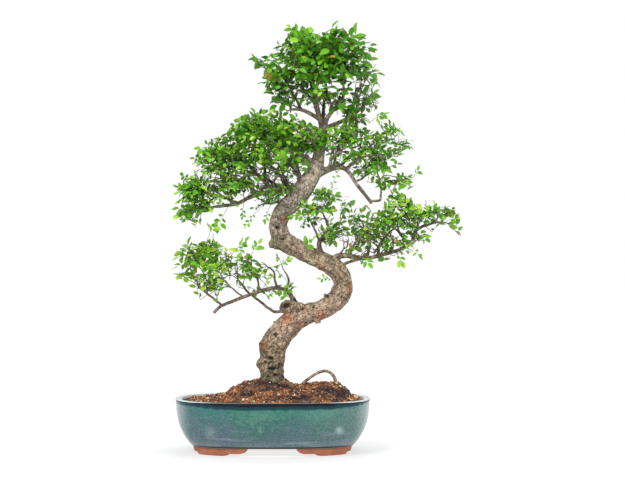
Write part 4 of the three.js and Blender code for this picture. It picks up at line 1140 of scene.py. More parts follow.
class BONSAI_OT_soil(bpy.types.Operator):
    """Make the mound of soil, the granules strewn over it and the roots that surface in it"""

    bl_idname = "bonsai.soil"
    bl_label = "Soil"

    def execute(self, context):
        values = settings().soil
        points, faces, top = mound_shell()
        mound = new_piece("soil_mound", to_frame(points), faces, soil_material("moist_soil", False))
        strewn = new_piece("soil_granules", to_frame(points), faces)
        for piece in (mound, strewn):
            store(piece.data, "top", top)
        shapes = shape_set("granules", stone_meshes(np.random.default_rng(values.seed)))
        run_tree(strewn, scatter_tree(), {
            "Shapes": shapes, "Per Square Metre": values.granules_per_square_metre, "Seed": values.seed,
            "Smallest": values.smallest_granule, "Largest": values.largest_granule,
            "Material": soil_material("clay_granules", True)})
        drop_shapes(shapes)
        runs = surface_root_runs(points, faces)
        roots = tubes("surface_roots", runs, 12, bark_material("root_bark", 0.8), 0.14)
        finish_piece(mound, ["soil"])
        finish_piece(strewn, ["soil"])
        finish_piece(roots, ["tree"])
        return {"FINISHED"}


# --- Wood ---------------------------------------------------------------------------------------


def bark_material(name, light):
    """Grey brown bark: mottled and cracked, with dark pits, rust patches, a green bloom, and darkening by the
    tone mask, which on the trunk is painted shade.
    """
    colours = settings().bark
    made = Shader(name)
    math_node, span, blend = made.math, made.span, made.blend

    def toned(colour):
        return (*(np.array(colour[:3]) * light), 1)

    def toned_paint(*colour):
        return toned(paint(*colour))

    masks = made.node("SeparateColor", {0: made.attribute("bark", "Color")})
    rust_mask, green_mask, shade_and_tone_mask = masks.outputs
    height = made.node("SeparateXYZ", {0: made.place}).outputs[2]
    clouds = made.noise(70.0, 8.0, 0.7, 0.5)["Fac"]
    middling = made.noise(240.0, 5.0, 0.7)
    swirl, middle = middling["Color"], middling["Fac"]
    fine = made.noise(700.0, 4.0, 0.7)["Fac"]
    tone = math_node("MULTIPLY_ADD", middle, 0.62, math_node("MULTIPLY", clouds, 0.4))
    tone = math_node("MULTIPLY_ADD", fine, 0.6, tone)
    colour = made.ramp(span(tone, 0.6, 1.0), (0.0, toned(colours.dark)), (0.3, toned_paint(128, 108, 88)),
                       (0.66, toned_paint(170, 150, 124)), (1.0, toned(colours.pale)))
    # warmer where the trunk bends low down, greyer in its upper part
    warm = math_node("MULTIPLY", span(height, 0.215, 0.245), span(height, 0.33, 0.29, 0.0, 0.26))
    colour = blend(warm, colour, toned_paint(196, 164, 144))
    colour = blend(span(height, 0.4, 0.5, 0.0, 0.46), colour, toned_paint(186, 178, 166))
    colour = blend(green_mask, colour, toned_paint(92, 94, 64))
    rust = span(math_node("MULTIPLY_ADD", middle, 1.1, rust_mask), 0.88, 1.2, 0.0, 0.72)
    rust = math_node("MULTIPLY", rust, math_node("GREATER_THAN", rust_mask, 0.02))
    colour = blend(rust, colour, (*colours.rust, 1))
    # cracks between small plates, in some places only
    warp = made.vector("MULTIPLY_ADD", swirl, (0.016, 0.016, 0.016), made.place)[0]
    cells = {"Vector": warp, "Scale": 105.0}
    plates = made.node("TexVoronoi", cells, feature="DISTANCE_TO_EDGE").outputs[0]
    crack = math_node("MULTIPLY", span(plates, 0.1, 0.01), span(clouds, 0.6, 0.48, 0.0, 0.85))
    colour = blend(crack, colour, toned_paint(46, 36, 28))
    flake = made.node("TexVoronoi", cells).outputs["Color"]
    flake = span(made.node("SeparateColor", {0: flake}).outputs[0], 0.0, 1.0, 0.78, 1.24)
    colour = made.vector("MULTIPLY", colour, flake)[0]
    # dark pits
    away, draws = made.cells(250.0)
    pit = math_node("MULTIPLY", span(away, 0.46, 0.26), span(draws[0], 0.58, 0.74))
    colour = blend(math_node("MULTIPLY", pit, 0.88), colour, toned_paint(38, 29, 23))
    # darker where the tone mask is low; on the trunk this is painted shade in cracks, hollows and sunken bark
    shaded = made.vector("MULTIPLY", colour, span(shade_and_tone_mask, 0.1, 0.78, 0.12, 1.08))[0]
    relief = math_node("MULTIPLY_ADD", fine, 0.5, middle)
    relief = math_node("MULTIPLY_ADD", math_node("MAXIMUM", pit, crack), -0.9, relief)
    return made.finish(shaded, 0.82, relief, strength=0.7, distance=0.0012, specular=0.35)


def tube_tree():
    """Tubes round poly lines that carry a radius, roughened a little along their normals."""
    made = Recipe("grown_tubes", {
        "Sides": ("Int", 8), "Roughness": ("Float", 0.1), "Grain": ("Float", 170.0)})
    inputs, radius = made.inputs, made.named("radius_of")
    skin = made.shape("CurveToMesh", {
        "Curve": made.shape("MeshToCurve", {"Mesh": inputs["Geometry"]})[0],
        "Profile Curve": made.shape("CurvePrimitiveCircle", {
            "Resolution": inputs["Sides"], "Radius": 1.0})[0],
        "Scale": radius, "Fill Caps": True})[0]
    place = made.shape("InputPosition")[0]
    lumps = made.node("TexNoise", {
        "Vector": place, "Scale": inputs["Grain"], "Detail": 3.0}).outputs["Fac"]
    swell = made.math("MULTIPLY", made.math("SUBTRACT", lumps, 0.5), inputs["Roughness"])
    swell = made.math("MULTIPLY", swell, radius)
    normal = made.shape("InputNormal")[0]
    offset = made.node("VectorMath", {0: normal, "Scale": swell}, operation="SCALE").outputs[0]
    return made.finish(made.shape("SetPosition", {"Geometry": skin, "Offset": offset})[0])


def tubes(name, runs, sides, material, roughness, tones=None):
    """One piece of tubes along runs of x, y, z and diameter in millimetres."""
    edges, offset = [], 0
    for run in runs:
        edges += [(offset + i, offset + i + 1) for i in range(len(run) - 1)]
        offset += len(run)
    points = np.vstack(runs)
    piece = new_piece(name, to_frame(points), edges=edges)
    store(piece.data, "radius_of", points[:, 3] / 2 * MM)
    bark = np.empty((len(points), 4))
    bark[:] = (0.0, TWIG_BLOOM, TWIG_TONE, 1.0)
    if tones:
        bark[:, 2] = np.concatenate(tones)
    store(piece.data, "bark", bark, "FLOAT_COLOR")
    tree = bpy.data.node_groups.get("grown_tubes") or tube_tree()
    run_tree(piece, tree, {"Sides": sides, "Roughness": roughness, "Material": material})
    shade_smooth(piece.data)
    return piece


def trunk_section(angle, along):
    """Ridges and hollows that wind slowly round the trunk."""
    winding = 7 * along
    ridges = 0.06 * np.sin(3 * angle + winding) + 0.05 * np.sin(2 * angle - 2.3 * winding + 1)
    return 1 + ridges + 0.03 * np.sin(5 * angle + 26 * along)


def near_spine(places, run):
    """Where places lie about the nearest point of the run: two ways across it and along it, as if
    the trunk were evenly thick, then the radius there and the distance out in radii."""
    path = run[:, :3]
    tangents, across, other = frames_along(path)
    along = distances_along(path)
    tree = kdtree.KDTree(len(path))
    for i, point in enumerate(path):
        tree.insert(Vector(point), i)
    tree.balance()
    nearest = np.array([tree.find(Vector(p))[1] for p in places])
    away = places - path[nearest]
    radius = run[nearest, 3] / 2
    local = np.stack([(away * across[nearest]).sum(1), (away * other[nearest]).sum(1),
                      along[nearest] + (away * tangents[nearest]).sum(1)], axis=-1)
    local[:, :2] *= (EVEN_RADIUS / np.maximum(np.linalg.norm(local[:, :2], axis=1), LEAST_RADIUS))[:, None]
    out = np.linalg.norm(np.cross(away, tangents[nearest]), axis=1) / radius
    return local, radius, out


def reach_of(x, z, mark):
    """Squared distance from the middle of a mark, in its own half sizes."""
    return ((x - mark[0]) / mark[2]) ** 2 + ((z - mark[1]) / mark[3]) ** 2


def bark_at(spot, place, normal, radius, out):
    """How far the skin moves out at a place, and its marks: rust, green bloom and tone, the tone carrying
    painted shade in cracks, hollows and sunken places and painted light on lumps.
    """
    (a, b, s), (x, y, z) = spot, place
    share = min(radius / 20, 1.0)
    stout = clamped(2 * share - 0.6)
    low = stout * clamped((250 - z) / 90)
    muscle = fractal(a * 0.045, b * 0.045, s * 0.018, 0.8, 2.0, 3)
    lumps = fractal(a * 0.13, b * 0.13, s * 0.075, 0.6, 2.1, 4)
    ridged = 1 - abs(fractal(a * 0.16 + 9, b * 0.16, s * 0.09, 0.5, 2.2, 3)) * 3.2
    flakes = noise.noise(Vector((a * 0.42, b * 0.42, s * 0.3 + 40)))
    crack = max(0.0, ridged) ** 6
    depth = (share * (1.5 * muscle + (1.5 + 1.3 * low) * lumps + 0.55 * flakes)
             - (0.5 + 0.7 * low) * share * crack)
    # painted light on raised lumps and painted shade in cracks and low lumps, with random tone from the
    # flakes
    tone = 0.72 - 0.03 * low + (0.2 + 0.1 * low) * lumps + 0.14 * flakes - 0.36 * crack * (0.3 + low)
    # darker on slender limbs, paler high on the trunk
    tone -= 0.2 * (1 - stout) * (z > 200) * (out < 1.35)
    tone += 0.1 * clamped((z - 480) / 50)
    # burrs stand out past the trunk's own girth, with painted light and shade on their knobs
    knobby = clamped(3 * (out - 1.15)) * (radius > 12)
    if knobby:
        knobs = fractal(x * 0.12, y * 0.12, z * 0.12, 0.7, 2.0, 3)
        depth += knobby * 3.0 * knobs
        tone += knobby * (0.3 * knobs - 0.08)
    tone -= 0.2 * stout * clamped((168 - z) / 30)
    rust = 0.0
    if normal[1] < 0.1:
        # crumbling bark at the foot, its sunken crumbs darkened with painted shade, rust patches, and hollows
        # on the front darkened inside with painted shade
        core = stout * math.exp(-((x + 2) / 15) ** 2 - ((z - 174) / 24) ** 2)
        crumbs = max(0.0, fractal(x * 0.17, y * 0.17, z * 0.3 + 20, 0.6, 2.0, 3) - 0.04)
        depth -= core * min(5 * crumbs, 1.6)
        tone -= core * min(2.2 * crumbs, 0.6)
        for patch in RUST:
            reach = reach_of(x, z, patch)
            if reach < 2.2:
                rust = max(rust, 0.6 * (1 - reach / 2.2) ** 0.5)
        # the hollows sink in and are darkened with painted shade
        for hollow in HOLLOWS:
            reach, sink = reach_of(x, z, hollow), hollow[4]
            if reach < 5:
                pit = math.exp(-1.6 * reach)
                rim = math.exp(-2.5 * (reach**0.5 - 1.45) ** 2)
                depth += 0.8 * rim * sink * 0.45 - sink * pit
                tone -= 0.9 * pit
    else:
        spots = fractal(x * 0.03, y * 0.03, z * 0.03, 0.8, 2.0, 2)
        rust = clamped((spots - 0.32) * 4, high=0.7)
    bloom = fractal(x * 0.02 + 5, y * 0.02, z * 0.02, 0.8, 2.0, 3)
    green = 0.55 * clamped(0.2 + 1.7 * bloom + 0.4 * low - 0.5 * normal[2]) * (x < 22 or z > 180)
    return depth, (rust, green, clamped(tone))


def trunk_parts():
    """Closed shells of the trunk, its roots, burrs and thick limbs, and the runs that they follow."""
    trunk, loop = smooth_run(TRUNK, 2.0), smooth_run(LOOP_ROOT, 2.0)
    shells, runs = [tube_shell(trunk, 72, trunk_section)], [trunk]
    for bearing in ROOT_BEARINGS:
        turn = math.radians(bearing)
        root = [(TRUNK[0][0] + out * math.cos(turn), out * math.sin(turn) * ROOT_DEPTH_SHARE, z, d)
                for out, z, d in ROOT_RUN]
        shells.append(tube_shell(smooth_run(root, 3.0), 14))
    shells.append(tube_shell(loop, 16))
    runs.append(loop)
    (x, y, z), (wide, deep, high) = HEALED, COLLAR_REACH
    collar = [(x + wide * math.cos(a), y + deep * math.cos(a), z + high * math.sin(a), COLLAR_WIDTH)
              for a in np.linspace(-0.6, 5.4, 16)]
    shells.append(tube_shell(np.array(collar), 12))
    shells += [tube_shell(smooth_run(stub, 2.0), 16) for stub in STUBS]
    for limb in itertools.chain(*LIMBS.values()):
        run = smooth_run(limb, 2.0)
        thick = run[run[:, 3] >= THICK_LIMB]
        if len(thick) > 8:
            shells.append(tube_shell(thick, 20, end_share=0.72))
            runs.append(thick)
    return shells + [ball_shell(*burr) for burr in BURRS], np.vstack(runs)


class BONSAI_OT_trunk(bpy.types.Operator):
    """Make the trunk with its burrs, roots and thick limbs as one skin of bark"""

    bl_idname = "bonsai.trunk"
    bl_label = "Trunk"

    def execute(self, context):
        values = settings().bark
        shells, run = trunk_parts()
        points, faces = merged(shells)
        piece = new_piece("trunk", to_frame(points), faces)
        remesh = piece.modifiers.new("skin", "REMESH")
        remesh.mode = "VOXEL"
        remesh.voxel_size = values.skin_voxel
        smooth = piece.modifiers.new("soften", "SMOOTH")
        smooth.factor = 0.5
        smooth.iterations = 3
        mesh = applied(piece).data
        places, normals = np.empty((2, len(mesh.vertices) * 3))
        mesh.vertices.foreach_get("co", places)
        mesh.vertices.foreach_get("normal", normals)
        places, normals = places.reshape(-1, 3), normals.reshape(-1, 3)
        local = places / MM - np.array([POT_X, 0.0, 0.0])
        spots, radii, out = near_spine(local, run)
        moves, marks = zip(*map(bark_at, spots, local, normals, radii, out))
        places = places + normals * (np.array(moves) * MM)[:, None] * values.relief
        mesh.vertices.foreach_set("co", places.ravel())
        store(mesh, "bark", np.hstack([marks, np.ones((len(marks), 1))]), "FLOAT_COLOR")
        mesh.materials.append(bark_material("trunk_bark", 1.0))
        shade_smooth(mesh)
        mesh.update()
        finish_piece(piece, ["tree"])
        return {"FINISHED"}


# --- Twigs and leaves ---------------------------------------------------------------------------


class Growth:
    """The limbs of a region and the twigs that grow from them towards given places."""

    def __init__(self, region, seed):
        self.rng = np.random.default_rng(seed)
        self.chains = []
        # every place that a twig can grow from, the way the wood runs there, and its chain and point
        self.spots, self.ways, self.owners = np.zeros((0, 3)), np.zeros((0, 3)), np.zeros((0, 2), int)
        for limb in LIMBS[region]:
            run = smooth_run(limb, 4.0)
            thin = np.clip((THICK_LIMB - run[:, 3]) / 2, 0, 1)[:, None]
            kinks = np.array([[noise.noise(Vector(p) * KINK_PITCH + Vector(shift)) for shift in KINK_SHIFTS]
                              for p in run[:, :3]])
            run[:, :3] += KINK_REACH * kinks * thin
            if limb[-1][3] < 5:
                left = np.arange(len(run))[::-1]
                run[:, 3] *= 0.4 + 0.6 * np.clip(left / 5, 0, 1)
            self.keep(run[:, :3], None, run[:, 3] / 2, skip=min(5, len(run) // 3))

    def keep(self, path, parent, radii=None, skip=1):
        number = len(self.chains)
        self.chains.append({"path": path, "parent": parent, "radii": radii, "load": np.ones(len(path))})
        self.spots = np.vstack([self.spots, path[skip:]])
        self.ways = np.vstack([self.ways, unit(np.gradient(path, axis=0))[skip:]])
        owners = np.stack([np.full(len(path) - skip, number), np.arange(skip, len(path))], axis=-1)
        self.owners = np.vstack([self.owners, owners])

    def nearest(self, place):
        return self.spots[np.argmin(np.linalg.norm(self.spots - place, axis=1))]

    def twig(self, place):
        """Grow a twig to the place, from the spot that gives the shortest and least bent run."""
        run = place - self.spots
        length = np.linalg.norm(run, axis=1)
        turn = TWIG_TURN - (run * self.ways).sum(1) / np.maximum(length, 1e-6)
        best = int(np.argmin(np.where(length < SHORTEST_TWIG, 1e9, length**TWIG_LENGTH_POWER * turn)))
        span, foot, growth = length[best], self.spots[best], self.ways[best]
        bend = foot + 0.5 * run[best] + growth * TWIG_LEAVE * span
        bend = bend + self.rng.normal(0, TWIG_BEND, 3) * span
        count = max(int(span / TWIG_STEP), 2)
        t = np.linspace(0, 1, count + 1)[:, None]
        path = (1 - t) ** 2 * foot + 2 * t * (1 - t) * bend + t**2 * place
        wander = self.rng.normal(0, TWIG_WANDER, path.shape)
        wander[0] = wander[-1] = 0
        self.keep(path + wander, tuple(self.owners[best]))

    def runs(self):
        """All chains as points and diameters, each twig as thick as what it carries needs."""
        for chain in reversed(self.chains):
            if chain["parent"] is not None:
                parent, node = chain["parent"]
                self.chains[parent]["load"][: node + 1] += chain["load"][0]
        runs = []
        for chain in self.chains:
            if chain["radii"] is None:
                parent, node = chain["parent"]
                parent_radius = self.chains[parent]["radii"][node]
                radii = THINNEST_TWIG * chain["load"] ** LOAD_POWER
                radii = np.minimum(np.minimum(radii, PARENT_SHARE * parent_radius), THICKEST_TWIG)
                flare = 1 + 0.25 * np.exp(-np.arange(len(radii)) / 0.8)
                chain["radii"] = np.minimum(radii * flare, parent_radius)
            run = np.hstack([chain["path"], 2 * chain["radii"][:, None]])
            # what is thick is part of the trunk's skin already
            thick = int((run[:, 3] >= THICK_LIMB).sum())
            if thick > 5:
                run = run[thick - 4:]
                run[0, 3] *= 0.7
            runs.append(run)
        return runs


def shoot_line(base, heading, length, rng):
    """A leafy shoot's stem: it zigzags a little and arches over."""
    t = np.linspace(0, 1, SHOOT_POINTS)[:, None]
    side = unit(np.cross(heading, (0, 0, 1)) + 1e-6)
    arch = rng.uniform(-0.05, 0.2)
    sway = rng.uniform(-0.12, 0.12)
    path = base + heading * t * length + side * sway * length * t**2
    path[:, 2] -= arch * length * t[:, 0] ** 2
    path += side * (SHOOT_ZIGZAG * (-1) ** np.arange(SHOOT_POINTS))[:, None]
    return path


def leaves_along(path, facing, leaf, count, rng, tint, book):
    """Alternate leaves on both sides of a stem and one at its end, in the plane of the stem."""
    along = distances_along(path)

    def at(distance):
        return np.array([np.interp(distance, along, path[:, k]) for k in range(3)])

    side = 1 if rng.random() < 0.5 else -1
    for number in range(count + 1):
        last = number == count
        spot = along[-1] * (1 if last else (number + 0.6) / (count + 0.2))
        tangent = unit(at(min(spot + 2, along[-1])) - at(max(spot - 2, 0)))
        face = unit(facing - tangent * facing.dot(tangent))
        sideways = np.cross(face, tangent)
        angle = rng.normal(0, 0.18) if last else side * rng.normal(*LEAF_ANGLE)
        way = math.cos(angle) * tangent + math.sin(angle) * sideways
        way = unit(way + face * rng.normal(-0.05, 0.22) + rng.normal(0, 0.08, 3))
        blade = face + rng.normal(0, 0.3, 3)
        blade = unit(blade - way * blade.dot(way))
        size = leaf * LEAF_SIZES[min(number, len(LEAF_SIZES) - 1)] * rng.uniform(*LEAF_SPREAD)
        young = 0.16 * (number / max(count, 1)) ** 2
        shade = float(np.clip(tint + young + rng.normal(0, 0.1), 0, 1))
        shade = TURNED_TINT if rng.random() < TURNED_SHARE else shade
        axes = Matrix((np.cross(way, blade), way, blade)).transposed()
        kind = int(rng.integers(0, len(LEAF_FORMS)))
        book.append((at(spot), tuple(axes.to_euler()), size, shade, kind))
        side = -side


def pad_targets(region, rng):
    """Spots spread evenly through a region's pads: place, way out, share of the reach, leafy or not."""
    density = settings().leaves.density
    targets = []
    for x, y, z, rx, ry, rz, leafy, bare in FOLIAGE[region]["pads"]:
        centre, radii = np.array([x, y, z], float), np.array([rx, ry, rz], float)
        leafy = int(round(leafy * density))
        taken = []
        for number in range(leafy + bare):
            leafed = number < leafy
            lowest = LOWEST_LEAFY if leafed else -1.0
            tries = []
            while len(tries) < SPOT_TRIES:
                way = unit(rng.normal(size=3))
                if way[2] > lowest:
                    share = rng.uniform(0.3, 1) ** 0.42 if leafed else rng.uniform(0.1, 0.9) ** 0.6
                    tries.append((way, share))
            spots = [centre + way * radii * share for way, share in tries]
            gaps = [min([np.linalg.norm((spot - other) / radii) for other in taken] or [9])
                    for spot in spots]
            best = int(np.argmax(gaps))
            taken.append(spots[best])
            targets.append((spots[best], *tries[best], leafed))
    return targets


def spray_targets(region, growth):
    """A leafy spot in the middle of each of the region's sprays."""
    targets = []
    for node in nodes_named(f"spray_{region}"):
        low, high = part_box(node)
        middle = (np.array(low) + np.array(high)) / 2 / MM - np.array([POT_X, 0, 0])
        targets.append((middle, unit(middle - growth.nearest(middle)), 0.95, True))
    return targets


def planned_shoot(tip, outward, share, leaf_length, growth):
    """The foot of a leafy shoot that reaches a spot, and what is needed to grow it from there."""
    rng = growth.rng
    turn = rng.uniform(0, 2 * math.pi)
    heading = np.array([outward[0], outward[1], SHOOT_LEVEL * outward[2]])
    steep = 0.7 * abs(outward[2])
    heading += (steep * math.cos(turn), steep * math.sin(turn), rng.normal(0, 0.18))
    away = unit(tip - growth.nearest(tip))
    heading += away * max(0.0, 0.5 - heading.dot(away))
    heading[2] = max(heading[2], STEEPEST_DROP)
    heading = unit(heading)
    leaf = leaf_length * rng.uniform(*SHOOT_SPREAD)
    count = int(rng.integers(*SIDE_LEAVES))
    length = leaf * LEAF_PITCH * (count + 0.4)
    return tip - heading * (length + 0.55 * leaf), (heading, outward, leaf, count, length, share)


def grow_region(region):
    """A region's limbs and twigs, its shoot stems, and a book of its leaves, in millimetres."""
    plan = FOLIAGE[region]
    growth = Growth(region, plan["seed"])
    rng = growth.rng
    targets = pad_targets(region, rng) + spray_targets(region, growth)
    ready = [planned_shoot(*target, plan["leaf"], growth) if leafed else (target[0], None)
             for *target, leafed in targets]
    limb_spots = growth.spots.copy()
    ready.sort(key=lambda item: np.min(np.linalg.norm(limb_spots - item[0], axis=1)))
    shoots, book = [], []
    for base, shoot in ready:
        growth.twig(base)
        if shoot is None:
            continue
        heading, outward, leaf, count, length, share = shoot
        path = shoot_line(base, heading, length, rng)
        shoots.append(path)
        level = unit(np.array([outward[0], outward[1], 0]) + rng.normal(0, 0.25, 3) * (1, 1, 0))
        facing = unit(np.array([0, 0, 0.62]) + 0.66 * level + rng.normal(0, 0.3, 3))
        # lighter towards the outside of the pad and where it faces up: painted light and shade through the
        # foliage, with a random spread
        tint = 0.06 + plan["light"] + 0.42 * share + 0.1 * outward[2] + rng.normal(0, 0.07)
        if rng.random() < BRIGHT_SHARE:
            tint += BRIGHT_TINT
        leaves_along(path, facing, leaf, count, rng, tint, book)
    for foot, tip, count, leaf, home, grown in SPRIGS:
        if home != region:
            continue
        foot, tip = np.array(foot, float), np.array(tip, float)
        if grown:
            growth.twig(foot)
        t = np.linspace(0, 1, 9)[:, None]
        path = foot + (tip - foot) * t + rng.normal(0, 0.5, (9, 3)) * np.sin(math.pi * t)
        path[:, 2] += 0.08 * np.linalg.norm(tip - foot) * np.sin(math.pi * t[:, 0])
        shoots.append(path)
        facing = unit(np.array([0, -0.75, 0.5]) + rng.normal(0, 0.2, 3))
        leaves_along(path[4:], facing, leaf, count, rng, 0.45 + plan["light"], book)
    stems = [np.hstack([path, np.linspace(*STEM_WIDTHS, len(path))[:, None]]) for path in shoots]
    return growth.runs(), stems, book


def leaf_point(form, x, y, lift=0.0):
    """A place of a leaf's flat outline, folded, curled and twisted."""
    fold, curl, twist = form
    t = max(y - 0.1, 0) / 0.9
    z = fold * abs(x) - curl * 0.6 * t * t + twist * x * 6 * t + 0.012 * math.sin(y * 19) * abs(x) / 0.2
    return (x, y, z + lift)


def strip_faces(points, outer, inner):
    """Triangles between two chains of points that share both ends, from foot to tip."""
    faces = []
    i = j = 0
    while i < len(outer) - 1 or j < len(inner) - 1:
        step_out = j == len(inner) - 1 or (
            i < len(outer) - 1 and points[outer[i + 1]][1] <= points[inner[j + 1]][1])
        if step_out:
            face = (outer[i], outer[i + 1], inner[j])
            i += 1
        else:
            face = (outer[i], inner[j + 1], inner[j])
            j += 1
        if len(set(face)) == 3:
            faces.append(face)
    return faces


def leaf_mesh(name, form):
    """A thin closed leaf of unit length with a serrated edge and a midrib above and below."""
    points = [leaf_point(form, 0, 0), leaf_point(form, 0, 1)]

    def chain(places):
        first = len(points)
        points.extend(leaf_point(form, *place) for place in places)
        return [0, *range(first, len(points)), 1]

    edges = {side: chain([(side * x, y) for y, x in LEAF_EDGE]) for side in (-1, 1)}
    ribs = {layer: chain([(0, y, lift) for y in LEAF_RIB])
            for layer, lift in ((0, LEAF_HALF_THICKNESS), (1, -LEAF_HALF_THICKNESS))}
    faces, under = [], []
    for side, edge in edges.items():
        for layer, rib in ribs.items():
            strip = strip_faces(points, edge, rib)
            faces += strip if (side > 0) == (layer == 0) else [face[::-1] for face in strip]
            under += [float(layer)] * len(strip)
    mesh = bpy.data.meshes.new(name)
    mesh.from_pydata(points, [], faces)
    store(mesh, "underside", under, "FLOAT", "FACE")
    uv = mesh.uv_layers.new(name="UVMap")
    for loop in mesh.loops:
        x, y, _ = points[loop.vertex_index]
        uv.data[loop.index].uv = (0.5 + x / 0.6, y)
    return mesh


def leaf_tree():
    """A leaf set on each point, turned and sized by the point's attributes."""
    made = Recipe("set_leaves", {"Shapes": ("Collection", None), "Size": ("Float", 1.0)})
    points = made.shape("MeshToPoints", {"Mesh": made.inputs["Geometry"]})[0]
    size = made.math("MULTIPLY", made.named("length_of"), made.inputs["Size"])
    turn, kind = made.named("turn", "FLOAT_VECTOR"), made.named("kind", "INT")
    return made.finish(made.laid(points, kind, turn, size))


def leaf_material():
    """Leaves from deep to yellow green by their tint, veined, and paler underneath."""
    colours = settings().leaves
    made = Shader("leaf_green")
    math_node = made.math
    blotch = made.noise(150.0, 4.0)["Fac"]
    tone = math_node("MULTIPLY_ADD", math_node("SUBTRACT", blotch, 0.5), 0.22,
                     math_node("MULTIPLY", made.attribute("tint"), 0.9))
    green = made.ramp(tone, (0.0, (*colours.deep, 1)), (0.27, paint(40, 100, 6)), (0.5, paint(70, 140, 8)),
                      (0.72, paint(106, 170, 28)), (0.9, (*colours.young, 1)), (1.0, paint(142, 118, 44)))
    u, v, _ = made.node("SeparateXYZ", {0: made.node("UVMap", uv_map="UVMap").outputs[0]}).outputs
    off = math_node("ABSOLUTE", math_node("SUBTRACT", u, 0.5))
    slant = math_node("FRACT", math_node("MULTIPLY", math_node("MULTIPLY_ADD", off, -0.75, v), 11.0))
    veins = made.span(math_node("ABSOLUTE", math_node("SUBTRACT", slant, 0.5)), 0.12, 0.02)
    vein = math_node("MULTIPLY_ADD", veins, 0.35, made.span(off, 0.045, 0.012))
    colour = made.layers(
        green,
        (math_node("MINIMUM", math_node("MULTIPLY", vein, 0.3), 1.0), (150, 190, 80)),
        (math_node("MULTIPLY", made.attribute("underside"), 0.5), (92, 140, 48)))
    gloss = made.span(blotch, 0.0, 1.0, 0.36, 0.6)
    return made.finish(colour, gloss, vein, strength=0.25, distance=0.0003, specular=0.24)


def stem_material():
    """Thin shoot stems, brown with some green."""
    made = Shader("shoot_stem")
    patches = made.noise(60.0, 3.0)["Fac"]
    colour = made.ramp(patches, (0.4, paint(104, 86, 66)), (0.62, paint(112, 124, 62)))
    return made.finish(colour, 0.7, made.noise(900.0, 2.0)["Fac"], strength=0.3, distance=0.0002)


class BONSAI_OT_foliage(bpy.types.Operator):
    """Grow the branches, twigs and leaves of every region of the tree"""

    bl_idname = "bonsai.foliage"
    bl_label = "Branches and leaves"

    def execute(self, context):
        leaf_shapes = [leaf_mesh(f"leaf_{i}", form) for i, form in enumerate(LEAF_FORMS)]
        shapes = shape_set("leaf_shapes", leaf_shapes)
        tree, green = leaf_tree(), leaf_material()
        bark, stem = bark_material("twig_bark", 0.74), stem_material()
        rng = np.random.default_rng(TONE_SEED)
        for region in FOLIAGE:
            runs, stems, book = grow_region(region)
            tones = [np.full(len(run), clamped(0.5 + rng.normal(0, 0.13))) for run in runs]
            limbs = len(LIMBS[region])
            branches = tubes(f"branches_{region}", runs[:limbs], 14, bark, 0.34, tones[:limbs])
            twigs = tubes(f"twigs_{region}", runs[limbs:], 6, bark, 0.3, tones[limbs:])
            thin = tubes(f"stems_{region}", stems, 5, stem, 0.0)
            feet, turns, sizes, tints, kinds = zip(*book)
            leaves = new_piece(f"leaves_{region}", to_frame(feet))
            store(leaves.data, "turn", turns, "FLOAT_VECTOR")
            store(leaves.data, "length_of", np.array(sizes) * MM)
            store(leaves.data, "tint", tints)
            store(leaves.data, "kind", kinds, "INT")
            run_tree(leaves, tree, {"Shapes": shapes, "Size": settings().leaves.size, "Material": green})
            sprays = nodes_named(f"spray_{region}")
            if region == TRUNK_SPRIG_REGION:
                sprays += nodes_named("sprig_trunk")
            finish_piece(branches, ["tree"])
            finish_piece(twigs, ["tree"])
            finish_piece(thin, sprays)
            finish_piece(leaves, sprays)
        drop_shapes(shapes)
        return {"FINISHED"}


# --- Stage --------------------------------------------------------------------------------------


def lamp(name, place, aim, size, watts):
    """A soft rectangular light that faces a place."""
    light = bpy.data.lights.new(name, "AREA")
    light.shape = "RECTANGLE"
    light.size, light.size_y = size
    light.energy = watts
    item = bpy.data.objects.new(name, light)
    item.location = place
    item.rotation_euler = (Vector(aim) - Vector(place)).to_track_quat("-Z", "Y").to_euler()
    bpy.context.scene.collection.objects.link(item)


def surroundings_nodes(world, values):
    """White surroundings, less bright as gloss mirrors them and as light than as seen."""
    world.use_nodes = True
    world.node_tree.nodes.clear()
    made = NodeMaker(world.node_tree)
    path = made.node("LightPath").outputs
    unseen = made.span(path["Is Glossy Ray"], 0.0, 1.0, values.surroundings, values.mirrored)
    strength = made.span(path["Is Camera Ray"], 0.0, 1.0, unseen, 1.0)
    white = made.node("Background", {"Color": (1, 1, 1, 1), "Strength": strength}).outputs[0]
    made.node("OutputWorld", {"Surface": white})


def floor_material(glow):
    """A pale floor that glows a little, less so in a ring near the pot as a painted shadow, and more again
    right under the pot as painted light.
    """
    made = Shader("pale_floor")
    away = made.vector("DISTANCE", made.place, (POT_X * MM, 0.0, 0.0))["Value"]
    # a painted shadow: less glow round the pot
    beside = made.span(away, 0.2, 0.6, 0.69 * glow, glow)
    # painted light: more glow right under the pot
    under = made.span(away, 0.11, 0.2, 0.84 * glow, 0.0)
    return made.surface(Base_Color=(0.25, 0.25, 0.25, 1), Roughness=0.9, Emission_Color=(1, 1, 1, 1),
                        Emission_Strength=made.math("MAXIMUM", beside, under))


